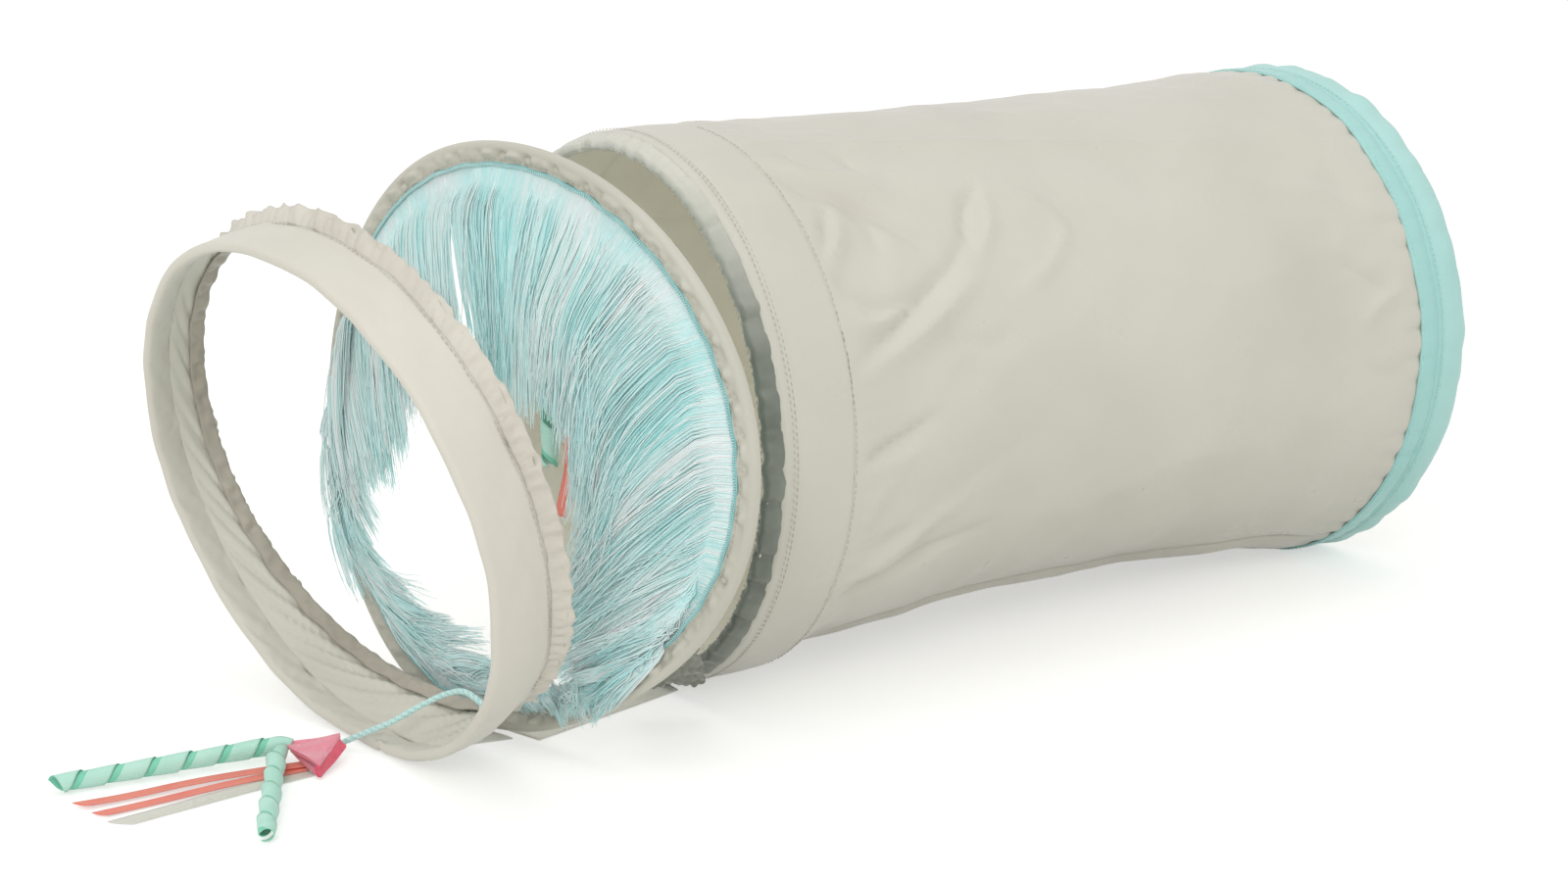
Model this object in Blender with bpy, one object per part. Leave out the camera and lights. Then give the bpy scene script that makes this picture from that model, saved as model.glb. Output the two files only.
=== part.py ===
"""Three-part cloth cat tunnel: a front hoop, a fringed hoop and a tube, standing in a row on the floor.

Metres, +Z up, the tube's axis along +X with its mouth towards -X. The origin is the bottom centre of the
cloth and hoops, without the toys and their cords.
"""

import math

import bmesh
import bpy
import numpy as np

# Cloth, wire and the clearances between plies
CLOTH = 0.0005
PLY_GAP = 0.0003
WIRE_DIAMETER = 0.0018
SLEEVE_WALL = 0.0003
SLEEVE_LENGTH = 0.011
POCKET = 0.0036
FOLD_CHAMFER = 0.0007
WIRE_PLACE_SHARE = 0.5

# Tube
TUBE_RADIUS = 0.125
TUBE_LENGTH = 0.404
TUBE_FLAT = 0.0040
TUBE_WAIST_TOP = 0.0020
TUBE_WAIST_FOOT = 0.0150
MOUTH_CASING_REACH = 0.0100
MOUTH_CASING_DROP = 0.0065
MOUTH_CONE_LENGTH = 0.0055
MOUTH_CASING_LAP = 0.0045
MOUTH_FACING_WIDTH = 0.037
FAR_BAND_WIDTH = 0.031
FAR_INNER_LEG = 0.018
SEAM_TAPE_WIDTH = 0.009
SEAM_TAPE_ANGLE = 68.0
CLOTH_STOP = 0.0006

# Fringed hoop
FRINGE_HALF_WIDE = 0.1290
FRINGE_HALF_HIGH = 0.1295
FRINGE_FLAT = 0.0015
FRINGE_CENTRE_X = -0.0856
FRINGE_CENTRE_Y = -0.0401
FRINGE_YAW = 15.3
FRINGE_LEAN = -3.6
FRINGE_BOW = 0.0166
DENT_SHARE = 0.08
DENT_ANGLE = 240.0
DENT_SPAN = 35.0
BINDING_WIDTH = 0.0095
HEADER_TUCK = 0.0050
HEADER_SHOW = 0.0010
TAPE_WIDTH = 0.0026
TAPE_THICKNESS = 0.0004
STRAND_THICKNESS = 0.0005
STRAND_PITCH = 3.5
STRAND_WIDTH_SHARE = 0.30
STRAND_FALL_SHARE = 0.90
STRAND_CREST = 0.016
STRAND_REACH_MAX = 0.074
STRAND_DRIFT = 0.0060
SIDE_WANDER_SHARE = 0.8
CUT_DEPTH_SHARE = 0.10
TOP_SECTOR = 62.0, 118.0
UPPER_LEFT_SECTOR = 21.0, 60.0
LEFT_SECTOR = -19.0, 19.0
LOWER_LEFT_SECTOR = -60.0, -21.0
UPPER_RIGHT_SECTOR = 120.0, 159.0
RIGHT_SECTOR = 161.0, 199.0
LOWER_RIGHT_SECTOR = 201.0, 240.0
FOOT_SECTOR = 242.0, 298.0
TOP_STRAND = 0.094
LEFT_STRAND = 0.088
RIGHT_STRAND = 0.122
LOW_STRAND = 0.100
FOOT_STRAND_RISE = 0.0030
FOOT_STRAND_CREST = 0.0004
FOOT_STRAND_CLEAR = 0.0010
FOOT_STRAND_DIP_SHARE = 0.4
FOOT_STRAND_STEP = 0.0018
FOOT_STRAND_SHORT = 0.0020
FOOT_STRAND_LONG = 0.0090
FOOT_STRAND_LIFT = 0.0017
FOOT_STRAND_SWAY = 0.0060
FOOT_STRAND_TURN = 0.0050
FOOT_STRAND_BLEND = 0.0350

# Front hoop
FRONT_HALF_WIDE = 0.1300
FRONT_HALF_HIGH = 0.1130
FRONT_FLAT = 0.0012
FRONT_CENTRE_X = -0.1702
FRONT_CENTRE_Y = -0.0271
FRONT_YAW = 6.2
FRONT_LEAN = 11.3
FRONT_BAND_WIDTH = 0.0266
FRONT_BAND_FOOT_WIDTH = 0.0346
FRONT_FOOT_DRAW = 0.0080
FRONT_CASING_WIDTH = 0.0140
FRONT_LINING_START = 0.0085
RUFFLE_WIDTH = 0.0100
RUFFLE_FOOT_WIDTH = 0.0035
RUFFLE_THICKNESS = 0.0008
RUFFLE_WAVE = 0.0012
RUFFLE_WAVES = 20
RUFFLE_FLARE = 42.0
RUFFLE_EASE = 3.0

# Strips that join the sections along the floor
STRIP_THICKNESS = 0.0008
STRIP_LIFT = 0.0002
REAR_STRIP_WIDTH = 0.044
FRONT_STRIP_WIDTH = 0.034
REAR_STRIP_SIDE = 0.0
REAR_STRIP_END_X = -0.0013
REAR_STRIP_END_Y = -0.0200
FRONT_STRIP_START_X = -0.1418
FRONT_STRIP_START_Y = -0.0260
FRONT_STRIP_SIDE = 0.0050
REAR_STRIP_GAP = 0.0011
FRONT_STRIP_GAP = 0.0004

# Gathered tab beside the fringed hoop's foot
TAB_THICKNESS = 0.0008
TAB_WAVE = 0.0020
TAB_PLACES = [
    (-0.0532, -0.1203, 0.0530),
    (-0.0452, -0.1063, 0.0425),
    (-0.0352, -0.0903, 0.0300),
    (-0.0232, -0.0713, 0.0170),
]
TAB_WIDTHS = [0.0200, 0.0230, 0.0240, 0.0260]
TAB_FOLDS = 5

# Toy on the front hoop's cord
CORD_DIAMETER = 0.0028
CORD_PLACES = [
    (-0.1179, -0.0767, 0.0277),
    (-0.1205, -0.0663, 0.0306),
    (-0.1240, -0.0581, 0.0284),
    (-0.1300, -0.0520, 0.0243),
    (-0.1365, -0.0472, 0.0197),
    (-0.1435, -0.0408, 0.0140),
    (-0.1505, -0.0320, 0.0084),
    (-0.1576, -0.0240, 0.0030),
]
CORD_STEP_SHARE = 2.5
KNOT_RADIUS = 0.0024
KNOT_GAP = 0.0004
FELT_THICKNESS = 0.0012
FELT_FOLD_RADIUS = 0.0013
FELT_LIFT = 0.0002
FELT_CORNER_X = -0.1825
FELT_CORNER_Y = -0.0205
FELT_TOP_WIDTH = 0.0240
FELT_MID_WIDTH = 0.0200
FELT_TIP_WIDTH = 0.0030
FELT_MID_REACH = 0.0150
FELT_REACH = 0.0300
FELT_UPPER_REACH = 0.0260
FELT_OPEN = 0.0060
FELT_MID_OPEN_SHARE = 0.35
FELT_TURN = -6.0
RIBBON_THICKNESS = 0.0004
CURL_RADIUS = 0.0038
CURL_WIDTH = 0.0125
CURL_POINTS = 9
CURL_CELLS = 2
LONG_CURL_TURNS = 6.0
LONG_CURL_ENDS = [(-0.1882, -0.0196), (-0.2775, -0.0050)]
SHORT_CURL_TURNS = 5.5
SHORT_CURL_ENDS = [(-0.1905, -0.0275), (-0.2290, -0.1040)]
SHORT_CURL_RISE = 0.0014
CORAL_WIDTH = 0.0060
CORAL_PLACES_A = [
    (-0.1846, -0.0335),
    (-0.2050, -0.0320),
    (-0.2300, -0.0285),
    (-0.2550, -0.0265),
    (-0.2760, -0.0250),
]
CORAL_PLACES_B = [
    (-0.1854, -0.0410),
    (-0.2050, -0.0395),
    (-0.2300, -0.0385),
    (-0.2550, -0.0385),
    (-0.2740, -0.0400),
]
PALE_WIDTH = 0.0090
PALE_PLACES = [
    (-0.1864, -0.0500),
    (-0.2050, -0.0485),
    (-0.2280, -0.0480),
    (-0.2500, -0.0505),
    (-0.2690, -0.0540),
]
FLAT_RIBBON_LIFT = 0.0003

# Toy that hangs inside the fringed hoop
HANG_SIDE = -0.0225
HANG_TOP_DROP = 0.0045
HANG_CORD_DIAMETER = 0.0016
HANG_CORD_LENGTH = 0.1010
HANG_KNOT_RADIUS = 0.0026
HANG_CURL_RADIUS = 0.0034
HANG_CURL_WIDTH = 0.0060
HANG_CURL_LENGTH = 0.0260
HANG_CURL_TURNS = 2.0
HANG_CORAL_WIDTH = 0.0060
HANG_CORAL_LENGTH = 0.0420
HANG_CORAL_OUT = 0.0010
HANG_CORAL_SWAY = 0.0030
HANG_CORAL_STEPS = 4

# Fineness of the facets
RING_STEPS = 40
RUFFLE_STEPS = 80
WIRE_SIDES = 6
TAUT_SHARES = [0.0, 0.05, 0.3, 0.65, 0.9, 1.0]
WAIST_SHARES = [0.0, 0.62, 1.0, 0.85, 0.4, 0.0]
STRAND_STEPS = 4
CURVE_SAMPLES = 12
CORD_FINENESS = 2
BALL_ROWS = 4
BALL_SIDES = 8
SLEEVE_ANGLE = 195.0
SHARP_ANGLE = 40.0
SMALL_TURN = 1e-4

CLOTH_GREY = (0.60, 0.59, 0.56)
BAND_GREY = (0.66, 0.65, 0.61)
BINDING_GREY = (0.42, 0.44, 0.43)
TAB_GREY = (0.20, 0.21, 0.21)
TEAL = (0.45, 0.70, 0.67)
AQUA = (0.50, 0.75, 0.74)
CORD_TEAL = (0.10, 0.50, 0.55)
MINT = (0.35, 0.68, 0.58)
CORAL = (0.80, 0.24, 0.22)
PINK = (0.83, 0.42, 0.46)
PALE = (0.80, 0.82, 0.82)
STEEL = (0.62, 0.62, 0.60)

UP = np.array([0.0, 0.0, 1.0])
FOOT_ANGLE = 1.5 * math.pi

for old in list(bpy.data.objects):
    bpy.data.objects.remove(old)

solids = []
cords = []


def solid(name, points, faces, colour, rough, metal=0.0, loose=False, pivot=None):
    """Keeps one closed body until its place in the shared frame is known."""
    solids.append((name, np.asarray(points, float), faces, (colour, rough, metal), loose, pivot))


def unit(v):
    v = np.asarray(v, float)
    return v / np.linalg.norm(v)


def bell(off, span):
    """A smooth bump: 1 at no angle off its middle, falling away past its span."""
    off = (off + math.pi) % (2 * math.pi) - math.pi
    return np.exp(-((off / span) ** 2))


class Ring:
    """A closed curve that stands on the floor, seen from its front: side to side, up, and back."""

    def __init__(self, plan_centre, angles, sizes, steps=RING_STEPS, height=None, **form):
        turn, tip = (math.radians(a) for a in angles)
        rest = form.get("rest", 0.0)
        self.side = np.array([-math.sin(turn), math.cos(turn), 0.0])
        self.back = np.array([math.cos(turn) * math.cos(tip), math.sin(turn) * math.cos(tip), math.sin(tip)])
        self.up = np.cross(self.back, self.side)
        self.wide, self.high, self.flat = sizes
        self.steps, self.bow, self.dent = steps, form.get("bow", 0.0), form.get("dent", 0.0)
        self.angles = np.arange(steps) / steps * 2 * math.pi - math.pi / 2
        self.centre = np.array([*plan_centre, 0.0])
        lowest = min(self.at(0.0, rest)[:, 2].min(), self.at(0.0, -rest)[:, 2].min())
        self.centre[2] = -lowest if height is None else height

    def plan(self, a):
        """Side and up places of the curve at angle a, from the side direction."""
        a = np.asarray(a, float)
        spread = math.sqrt(2 * self.flat / self.high)
        shrink = 1 - self.dent * bell(a - math.radians(DENT_ANGLE), math.radians(DENT_SPAN))
        s = self.wide * np.cos(a) * shrink
        t = self.high * np.sin(a) * shrink + self.flat * bell(a - FOOT_ANGLE, spread)
        return s, t

    def normal(self, a):
        s0, t0 = self.plan(a - SMALL_TURN)
        s1, t1 = self.plan(a + SMALL_TURN)
        ds, dt = s1 - s0, t1 - t0
        size = np.hypot(ds, dt)
        return dt / size, -ds / size

    def at(self, out, back, a=None):
        """Points at a distance outwards from the curve and back along the axis."""
        a = self.angles if a is None else np.atleast_1d(a)
        s, t = self.plan(a)
        ns, nt = self.normal(a)
        out = np.asarray(out, float)
        return self.place(s + ns * out, t + nt * out, back)

    def place(self, s, t, back):
        """The point at a side, up and back place; a bowed ring's sides lie further back than its middle."""
        s, t, back = np.broadcast_arrays(np.asarray(s, float), np.asarray(t, float), np.asarray(back, float))
        back = back + self.bow * (s / self.wide) ** 2
        return self.centre + s[..., None] * self.side + t[..., None] * self.up + back[..., None] * self.back


def loop_faces(rows, count, closed):
    """Quads between rows of count points each, and from the last row to the first when closed."""
    faces = []
    for i in range(rows if closed else rows - 1):
        a, b = i * count, (i + 1) % rows * count
        for j in range(count):
            k = (j + 1) % count
            faces.append((a + j, a + k, b + k, b + j))
    if not closed:
        faces.append(tuple(range(count))[::-1])
        faces.append(tuple((rows - 1) * count + j for j in range(count)))
    return faces


def ring_body(name, ring, section, colour, rough, **more):
    """Sweeps a section, a list of (outwards, back) pairs, round a ring."""
    points = np.stack([ring.at(o, b) for o, b in section], 1).reshape(-1, 3)
    solid(name, points, loop_faces(ring.steps, len(section), True), colour, rough, **more)


def strip_body(name, places, lefts, ups, widths, thickness, colour, rough, **more):
    """A flat band along places, with a left and an up direction and its width, or (left, right), at each."""
    points = []
    for p, l, u, w in zip(places, lefts, ups, widths, strict=True):
        p, l, u = np.asarray(p, float), unit(l), unit(u)
        left, right = w if isinstance(w, tuple) else (w / 2, w / 2)
        h = u * thickness / 2
        points += [p + l * left - h, p + l * left + h, p - l * right + h, p - l * right - h]
    solid(name, points, loop_faces(len(places), 4, False), colour, rough, **more)


def wire_parts(stem, ring, out, back, pivot=None):
    """The round hoop wire, and the sleeve pressed over its joint on one straight facet."""
    r = WIRE_DIAMETER / 2
    turns = [2 * math.pi * k / WIRE_SIDES for k in range(WIRE_SIDES)]
    section = [(out + r * math.cos(t), back + r * math.sin(t)) for t in turns]
    ring_body(stem + "_wire", ring, section, STEEL, 0.35, metal=1.0, pivot=pivot)
    line = ring.at(out, back)
    k = round(math.radians(SLEEVE_ANGLE) / (2 * math.pi) * ring.steps) + ring.steps // 4
    a, b = line[k % ring.steps], line[(k + 1) % ring.steps]
    along, mid = unit(b - a), (a + b) / 2
    across = unit(np.cross(along, ring.back))
    upward = np.cross(across, along)
    inner = (r + PLY_GAP) / math.cos(math.pi / WIRE_SIDES)
    outer = inner + SLEEVE_WALL
    rows = []
    for radius, end in ((outer, -1), (outer, 1), (inner, 1), (inner, -1)):
        for t in turns:
            spoke = across * math.cos(t) + upward * math.sin(t)
            rows.append(mid + along * end * SLEEVE_LENGTH / 2 + radius * spoke)
    solid(stem + "_wire_sleeve", rows, loop_faces(4, WIRE_SIDES, True), STEEL, 0.45, metal=1.0, pivot=pivot)


def coned_casing(lap, cone, drop, reach):
    """A folded cloth casing, open at the back, that narrows over a cone and ends in a level pocket."""
    deep = POCKET + 2 * CLOTH
    inset = CLOTH + FOLD_CHAMFER / 2
    fold = [(-drop, FOLD_CHAMFER - reach), (-drop - FOLD_CHAMFER, -reach)]
    outer = [(0.0, lap), (0.0, 0.0), (-drop, -cone), *fold]
    under = [
        (-drop - deep + FOLD_CHAMFER, -reach),
        (-drop - deep, FOLD_CHAMFER - reach),
        (-drop - deep, -cone),
        (-deep, 0.0),
        (-deep, lap),
    ]
    inner = [
        (-deep + CLOTH, lap),
        (-deep + CLOTH, 0.0),
        (-drop - deep + CLOTH, -cone),
        (-drop - deep + CLOTH, inset - reach),
    ]
    upper = [(-drop - CLOTH, inset - reach), (-drop - CLOTH, -cone), (-CLOTH, 0.0), (-CLOTH, lap)]
    return outer + under + inner + upper


def plain_casing(width, inner_width, front=0.0, way=1.0, draw=0.0):
    """The same without a cone: its fold's place, which way it opens, and how far its edge sinks."""
    deep = POCKET + 2 * CLOTH
    return [
        (-draw, front + way * width),
        (0.0, front + way * inner_width),
        (0.0, front + way * FOLD_CHAMFER),
        (-FOLD_CHAMFER, front),
        (-deep + FOLD_CHAMFER, front),
        (-deep, front + way * FOLD_CHAMFER),
        (-deep, front + way * inner_width),
        (-deep + CLOTH, front + way * inner_width),
        (-deep + CLOTH, front + way * (CLOTH + FOLD_CHAMFER / 2)),
        (-CLOTH, front + way * (CLOTH + FOLD_CHAMFER / 2)),
        (-CLOTH, front + way * inner_width),
        (-CLOTH - draw, front + way * width),
    ]


# Tube
tube = Ring((0.0, 0.0), (0.0, 0.0), (TUBE_RADIUS, TUBE_RADIUS, TUBE_FLAT))
wire_out = -CLOTH - POCKET * WIRE_PLACE_SHARE
ply_top = -CLOTH - PLY_GAP
tube_front = CLOTH_STOP
tube_rear = TUBE_LENGTH - POCKET - CLOTH - CLOTH_STOP
taut_start, taut_end = MOUTH_FACING_WIDTH + PLY_GAP, TUBE_LENGTH - FAR_BAND_WIDTH
taut_runs = [taut_start + (taut_end - taut_start) * share for share in TAUT_SHARES]


def waist(b, a):
    """How far the cloth is drawn in between the mouth's hem and the far band, most at the foot."""
    share = (b - taut_start) / (taut_end - taut_start)
    low = (0.5 - 0.5 * np.sin(a)) ** 2
    deepest = TUBE_WAIST_TOP + (TUBE_WAIST_FOOT - TUBE_WAIST_TOP) * low
    return deepest * np.interp(share, TAUT_SHARES, WAIST_SHARES)


runs = [tube_front, *taut_runs, tube_rear]
tube_section = [(ply_top - waist(b, tube.angles), b) for b in runs]
tube_section += [(ply_top - CLOTH - waist(b, tube.angles), b) for b in runs[::-1]]
ring_body("tube_cloth", tube, tube_section, CLOTH_GREY, 0.6)

facing_top = ply_top - CLOTH - PLY_GAP
facing = [(facing_top, tube_front), (facing_top, MOUTH_FACING_WIDTH)]
facing += [(o - CLOTH, b) for o, b in facing[::-1]]
ring_body("mouth_facing", tube, facing, CLOTH_GREY, 0.7)

mouth = coned_casing(MOUTH_CASING_LAP, MOUTH_CONE_LENGTH, MOUTH_CASING_DROP, MOUTH_CASING_REACH)
ring_body("mouth_casing", tube, mouth, BINDING_GREY, 0.5)
pocket_mid = CLOTH + FOLD_CHAMFER / 2 + POCKET / 2
wire_parts("mouth", tube, wire_out - MOUTH_CASING_DROP, pocket_mid - MOUTH_CASING_REACH)

tape_top = facing_top - PLY_GAP
tape_angle = math.radians(SEAM_TAPE_ANGLE)
tape_half = SEAM_TAPE_WIDTH / 2 / TUBE_RADIUS
rows = []
for b in taut_runs:
    sunk = tape_top - waist(b, tape_angle)
    for drop, side in ((0.0, -1), (0.0, 1), (CLOTH, 1), (CLOTH, -1)):
        rows.append(tube.at(sunk - drop, b, tape_angle + side * tape_half)[0])
solid("seam_tape", rows, loop_faces(len(taut_runs), 4, False), BAND_GREY, 0.7)

# Far end
far_pivot = (TUBE_LENGTH, 0.0, 0.0)
far = plain_casing(FAR_BAND_WIDTH, FAR_INNER_LEG, TUBE_LENGTH, -1.0)
ring_body("far_band", tube, far, TEAL, 0.6, pivot=far_pivot)
wire_parts("far", tube, wire_out, TUBE_LENGTH - pocket_mid, pivot=far_pivot)

# Fringed hoop
half = POCKET / 2 + CLOTH
fringe = Ring(
    (FRINGE_CENTRE_X, FRINGE_CENTRE_Y),
    (FRINGE_YAW, FRINGE_LEAN),
    (FRINGE_HALF_WIDE, FRINGE_HALF_HIGH, FRINGE_FLAT),
    bow=FRINGE_BOW,
    dent=DENT_SHARE,
    rest=half - FOLD_CHAMFER,
)
fringe_foot = fringe.at(0.0, 0.0, FOOT_ANGLE)[0]
fringe_pivot = (fringe_foot[0], fringe_foot[1], 0.0)
binding = [
    (-BINDING_WIDTH, -half),
    (-FOLD_CHAMFER, -half),
    (0.0, -half + FOLD_CHAMFER),
    (0.0, half - FOLD_CHAMFER),
    (-FOLD_CHAMFER, half),
    (-BINDING_WIDTH, half),
    (-BINDING_WIDTH, half - CLOTH),
    (-CLOTH - FOLD_CHAMFER / 2, half - CLOTH),
    (-CLOTH - FOLD_CHAMFER / 2, -half + CLOTH),
    (-BINDING_WIDTH, -half + CLOTH),
]
ring_body("fringe_binding", fringe, binding, BINDING_GREY, 0.55, pivot=fringe_pivot)
wire_parts("fringe", fringe, -pocket_mid, 0.0, pivot=fringe_pivot)
strand_root = BINDING_WIDTH + HEADER_SHOW
tape_out = -BINDING_WIDTH - PLY_GAP
tape_back = -STRAND_THICKNESS / 2 - PLY_GAP
tape_section = [(tape_out, tape_back), (tape_out - TAPE_WIDTH, tape_back)]
tape_section += [(o, b - TAPE_THICKNESS) for o, b in tape_section[::-1]]
ring_body("fringe_tape", fringe, tape_section, TEAL, 0.6, pivot=fringe_pivot)


def fall(reach):
    """How far a strand has fallen at a reach inwards from its root."""
    return STRAND_FALL_SHARE * (reach - STRAND_CREST * (1 - math.exp(-reach / STRAND_CREST)))


def root_place(a):
    """Side and up places of a strand's root on the fringed hoop."""
    s, t = fringe.plan(a)
    ns, nt = fringe.normal(a)
    return float(s - ns * strand_root), float(t - nt * strand_root)


def comb(name, sector, strand):
    """A header tucked into the binding, with its strands; strand(k, a, step, side) gives a strand's place."""
    first, last = sector
    count = round((last - first) / STRAND_PITCH)
    pitch = (last - first) / count
    half_wide = math.radians(pitch * STRAND_WIDTH_SHARE)
    mids = [math.radians(first + (k + 0.5) * pitch) for k in range(count)]
    edges = [e for m in mids for e in (m - half_wide, m + half_wide)]
    h = STRAND_THICKNESS / 2
    points, faces = [], []
    for a in edges:
        for out, back in ((-HEADER_TUCK, -h), (-HEADER_TUCK, h), (-strand_root, h), (-strand_root, -h)):
            points.append(fringe.at(out, back, a)[0])
    for e in range(len(edges) - 1):
        p, q = 4 * e, 4 * e + 4
        faces += [(p, p + 1, q + 1, q), (p + 1, p + 2, q + 2, q + 1), (p, q, q + 3, p + 3)]
        if e % 2:
            faces.append((p + 2, p + 3, q + 3, q + 2))
    faces += [(0, 3, 2, 1), tuple(4 * (len(edges) - 1) + j for j in range(4))]
    for k, m in enumerate(mids):
        loop = [8 * k + 3, 8 * k + 2, 8 * k + 6, 8 * k + 7]
        for step in range(1, STRAND_STEPS + 1):
            new = len(points)
            for a, side in ((m - half_wide, -h), (m - half_wide, h), (m + half_wide, h), (m + half_wide, -h)):
                points.append(strand(k, a, step, side))
            fresh = [new, new + 1, new + 2, new + 3]
            for j in range(4):
                i = (j + 1) % 4
                faces.append((loop[j], loop[i], fresh[i], fresh[j]))
            loop = fresh
        faces.append(tuple(loop))
    solid(name, points, faces, AQUA, 0.35, pivot=fringe_pivot)


def hanging(length, wander):
    """Strands of one length that fall towards the middle, cut zig-zag, some drifting forward."""

    def strand(k, a, step, side):
        share = step / STRAND_STEPS
        drop = math.cos(a) ** 2 + (math.sin(a) + STRAND_FALL_SHARE) ** 2
        whole = length * (1 - CUT_DEPTH_SHARE * (k % 3) / 2) / math.sqrt(drop)
        reach = min(whole, STRAND_REACH_MAX) * share
        s, t = root_place(a)
        rest = 1 - reach / math.hypot(s, t)
        depth = side - STRAND_DRIFT * wander * share * share * ((k * 7) % 5) / 4
        return fringe.place(s * rest, t * rest - fall(reach), depth)

    return strand


def draping(k, a, step, side):
    """Strands at the foot that come over the tape and the binding's front and end on the floor before it."""
    s, t = root_place(a)
    low = FOOT_STRAND_LIFT - fringe.centre[2]
    ease = min(max((FOOT_STRAND_TURN - s) / FOOT_STRAND_BLEND, 0.0), 1.0)
    ease = ease * ease * (3 - 2 * ease)
    down = half + FOOT_STRAND_STEP
    far = down + FOOT_STRAND_SHORT + (FOOT_STRAND_LONG - FOOT_STRAND_SHORT) * ease
    spots = [
        (0.0, 0.0, t),
        (0.0, -FOOT_STRAND_CREST, t + FOOT_STRAND_RISE),
        (0.0, -half - FOOT_STRAND_CLEAR, t + FOOT_STRAND_RISE * FOOT_STRAND_DIP_SHARE),
        (-FOOT_STRAND_SWAY * ease / 3, -down, low),
        (-FOOT_STRAND_SWAY * ease, -far, low),
    ]
    before, after = spots[step - 1], spots[min(step + 1, STRAND_STEPS)]
    run = unit((after[1] - before[1], after[2] - before[2]))
    drift, back, rise = spots[step]
    return fringe.place(s + drift, rise - run[0] * side, back + run[1] * side)


comb("fringe_top", TOP_SECTOR, hanging(TOP_STRAND, 1.0))
comb("fringe_upper_left", UPPER_LEFT_SECTOR, hanging(LEFT_STRAND, 1.0))
comb("fringe_left", LEFT_SECTOR, hanging(LEFT_STRAND, SIDE_WANDER_SHARE))
comb("fringe_lower_left", LOWER_LEFT_SECTOR, hanging(LOW_STRAND, SIDE_WANDER_SHARE))
comb("fringe_upper_right", UPPER_RIGHT_SECTOR, hanging(RIGHT_STRAND, 1.0))
comb("fringe_right", RIGHT_SECTOR, hanging(RIGHT_STRAND, SIDE_WANDER_SHARE))
comb("fringe_lower_right", LOWER_RIGHT_SECTOR, hanging(LOW_STRAND, SIDE_WANDER_SHARE))
comb("fringe_foot", FOOT_SECTOR, draping)

# Front hoop
front_shape = (
    (FRONT_CENTRE_X, FRONT_CENTRE_Y),
    (FRONT_YAW, FRONT_LEAN),
    (FRONT_HALF_WIDE, FRONT_HALF_HIGH, FRONT_FLAT),
)
front = Ring(*front_shape)
front_foot = front.at(0.0, 0.0, FOOT_ANGLE)[0]
front_pivot = (front_foot[0], front_foot[1], 0.0)


def band_edge(a):
    """The front band's width and how far its rear edge is drawn in, both more where its foot is pulled."""
    pull = (0.5 - 0.5 * np.sin(a)) ** 4
    return FRONT_BAND_WIDTH + (FRONT_BAND_FOOT_WIDTH - FRONT_BAND_WIDTH) * pull, FRONT_FOOT_DRAW * pull


wide, draw = band_edge(front.angles)
band = plain_casing(wide, FRONT_CASING_WIDTH, draw=draw)
ring_body("front_band", front, band, BAND_GREY, 0.6, pivot=front_pivot)
wire_parts("front", front, wire_out, pocket_mid, pivot=front_pivot)
lining = [(ply_top, FRONT_LINING_START), (ply_top, FRONT_CASING_WIDTH), (ply_top - draw, wide)]
lining += [(o - CLOTH, b) for o, b in lining[::-1]]
ring_body("front_lining", front, lining, CLOTH_GREY, 0.7, pivot=front_pivot)

ruffle = Ring(*front_shape, steps=RUFFLE_STEPS, height=front.centre[2])
points = []
for i, a in enumerate(ruffle.angles):
    ease = min(1.0, (0.5 + 0.5 * math.sin(a)) * RUFFLE_EASE)
    flare = math.radians(RUFFLE_FLARE) * ease
    width = RUFFLE_FOOT_WIDTH + (RUFFLE_WIDTH - RUFFLE_FOOT_WIDTH) * ease
    wave = RUFFLE_WAVE * math.sin(2 * math.pi * RUFFLE_WAVES * i / RUFFLE_STEPS) * ease
    along = (math.sin(flare), math.cos(flare))
    across = (math.cos(flare), -math.sin(flare))
    edge_back, edge_drop = band_edge(a)
    root_back = edge_back + PLY_GAP + RUFFLE_THICKNESS / 2
    for run, side, swing in ((0.0, -0.5, 0.0), (0.0, 0.5, 0.0), (width, 0.5, wave), (width, -0.5, wave)):
        off = side * RUFFLE_THICKNESS + swing
        out = -edge_drop - RUFFLE_THICKNESS / 2 + along[0] * run + across[0] * off
        points.append(ruffle.at(out, root_back + along[1] * run + across[1] * off, a)[0])
solid("front_ruffle", points, loop_faces(RUFFLE_STEPS, 4, True), BAND_GREY, 0.65, pivot=front_pivot)

# Strips along the floor
strip_mid = STRIP_LIFT + STRIP_THICKNESS / 2


def foot_point(side, back):
    """A point at strip height before or behind the fringed hoop's foot."""
    s = math.hypot(fringe.side[0], fringe.side[1]) * side
    t = (strip_mid - fringe.centre[2] - back * fringe.back[2]) / fringe.up[2]
    return fringe.place(s, t, back)


def laid_strip(name, start, end, start_side, end_side, width):
    """A strip on the floor, each end square to what it is sewn to."""
    places = [start, (start + end) / 2, end]
    lefts = [start_side, start_side + end_side, end_side]
    strip_body(name, places, lefts, [UP] * 3, [width] * 3, STRIP_THICKNESS, CLOTH_GREY, 0.7)


rear_start = foot_point(REAR_STRIP_SIDE, half + REAR_STRIP_GAP)
rear_end = np.array([REAR_STRIP_END_X, REAR_STRIP_END_Y, strip_mid])
laid_strip("rear_strip", rear_start, rear_end, fringe.side, tube.side, REAR_STRIP_WIDTH)
front_start = np.array([FRONT_STRIP_START_X, FRONT_STRIP_START_Y, strip_mid])
front_end = foot_point(FRONT_STRIP_SIDE, -half - FRONT_STRIP_GAP)
laid_strip("front_strip", front_start, front_end, front.side, fringe.side, FRONT_STRIP_WIDTH)

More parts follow.
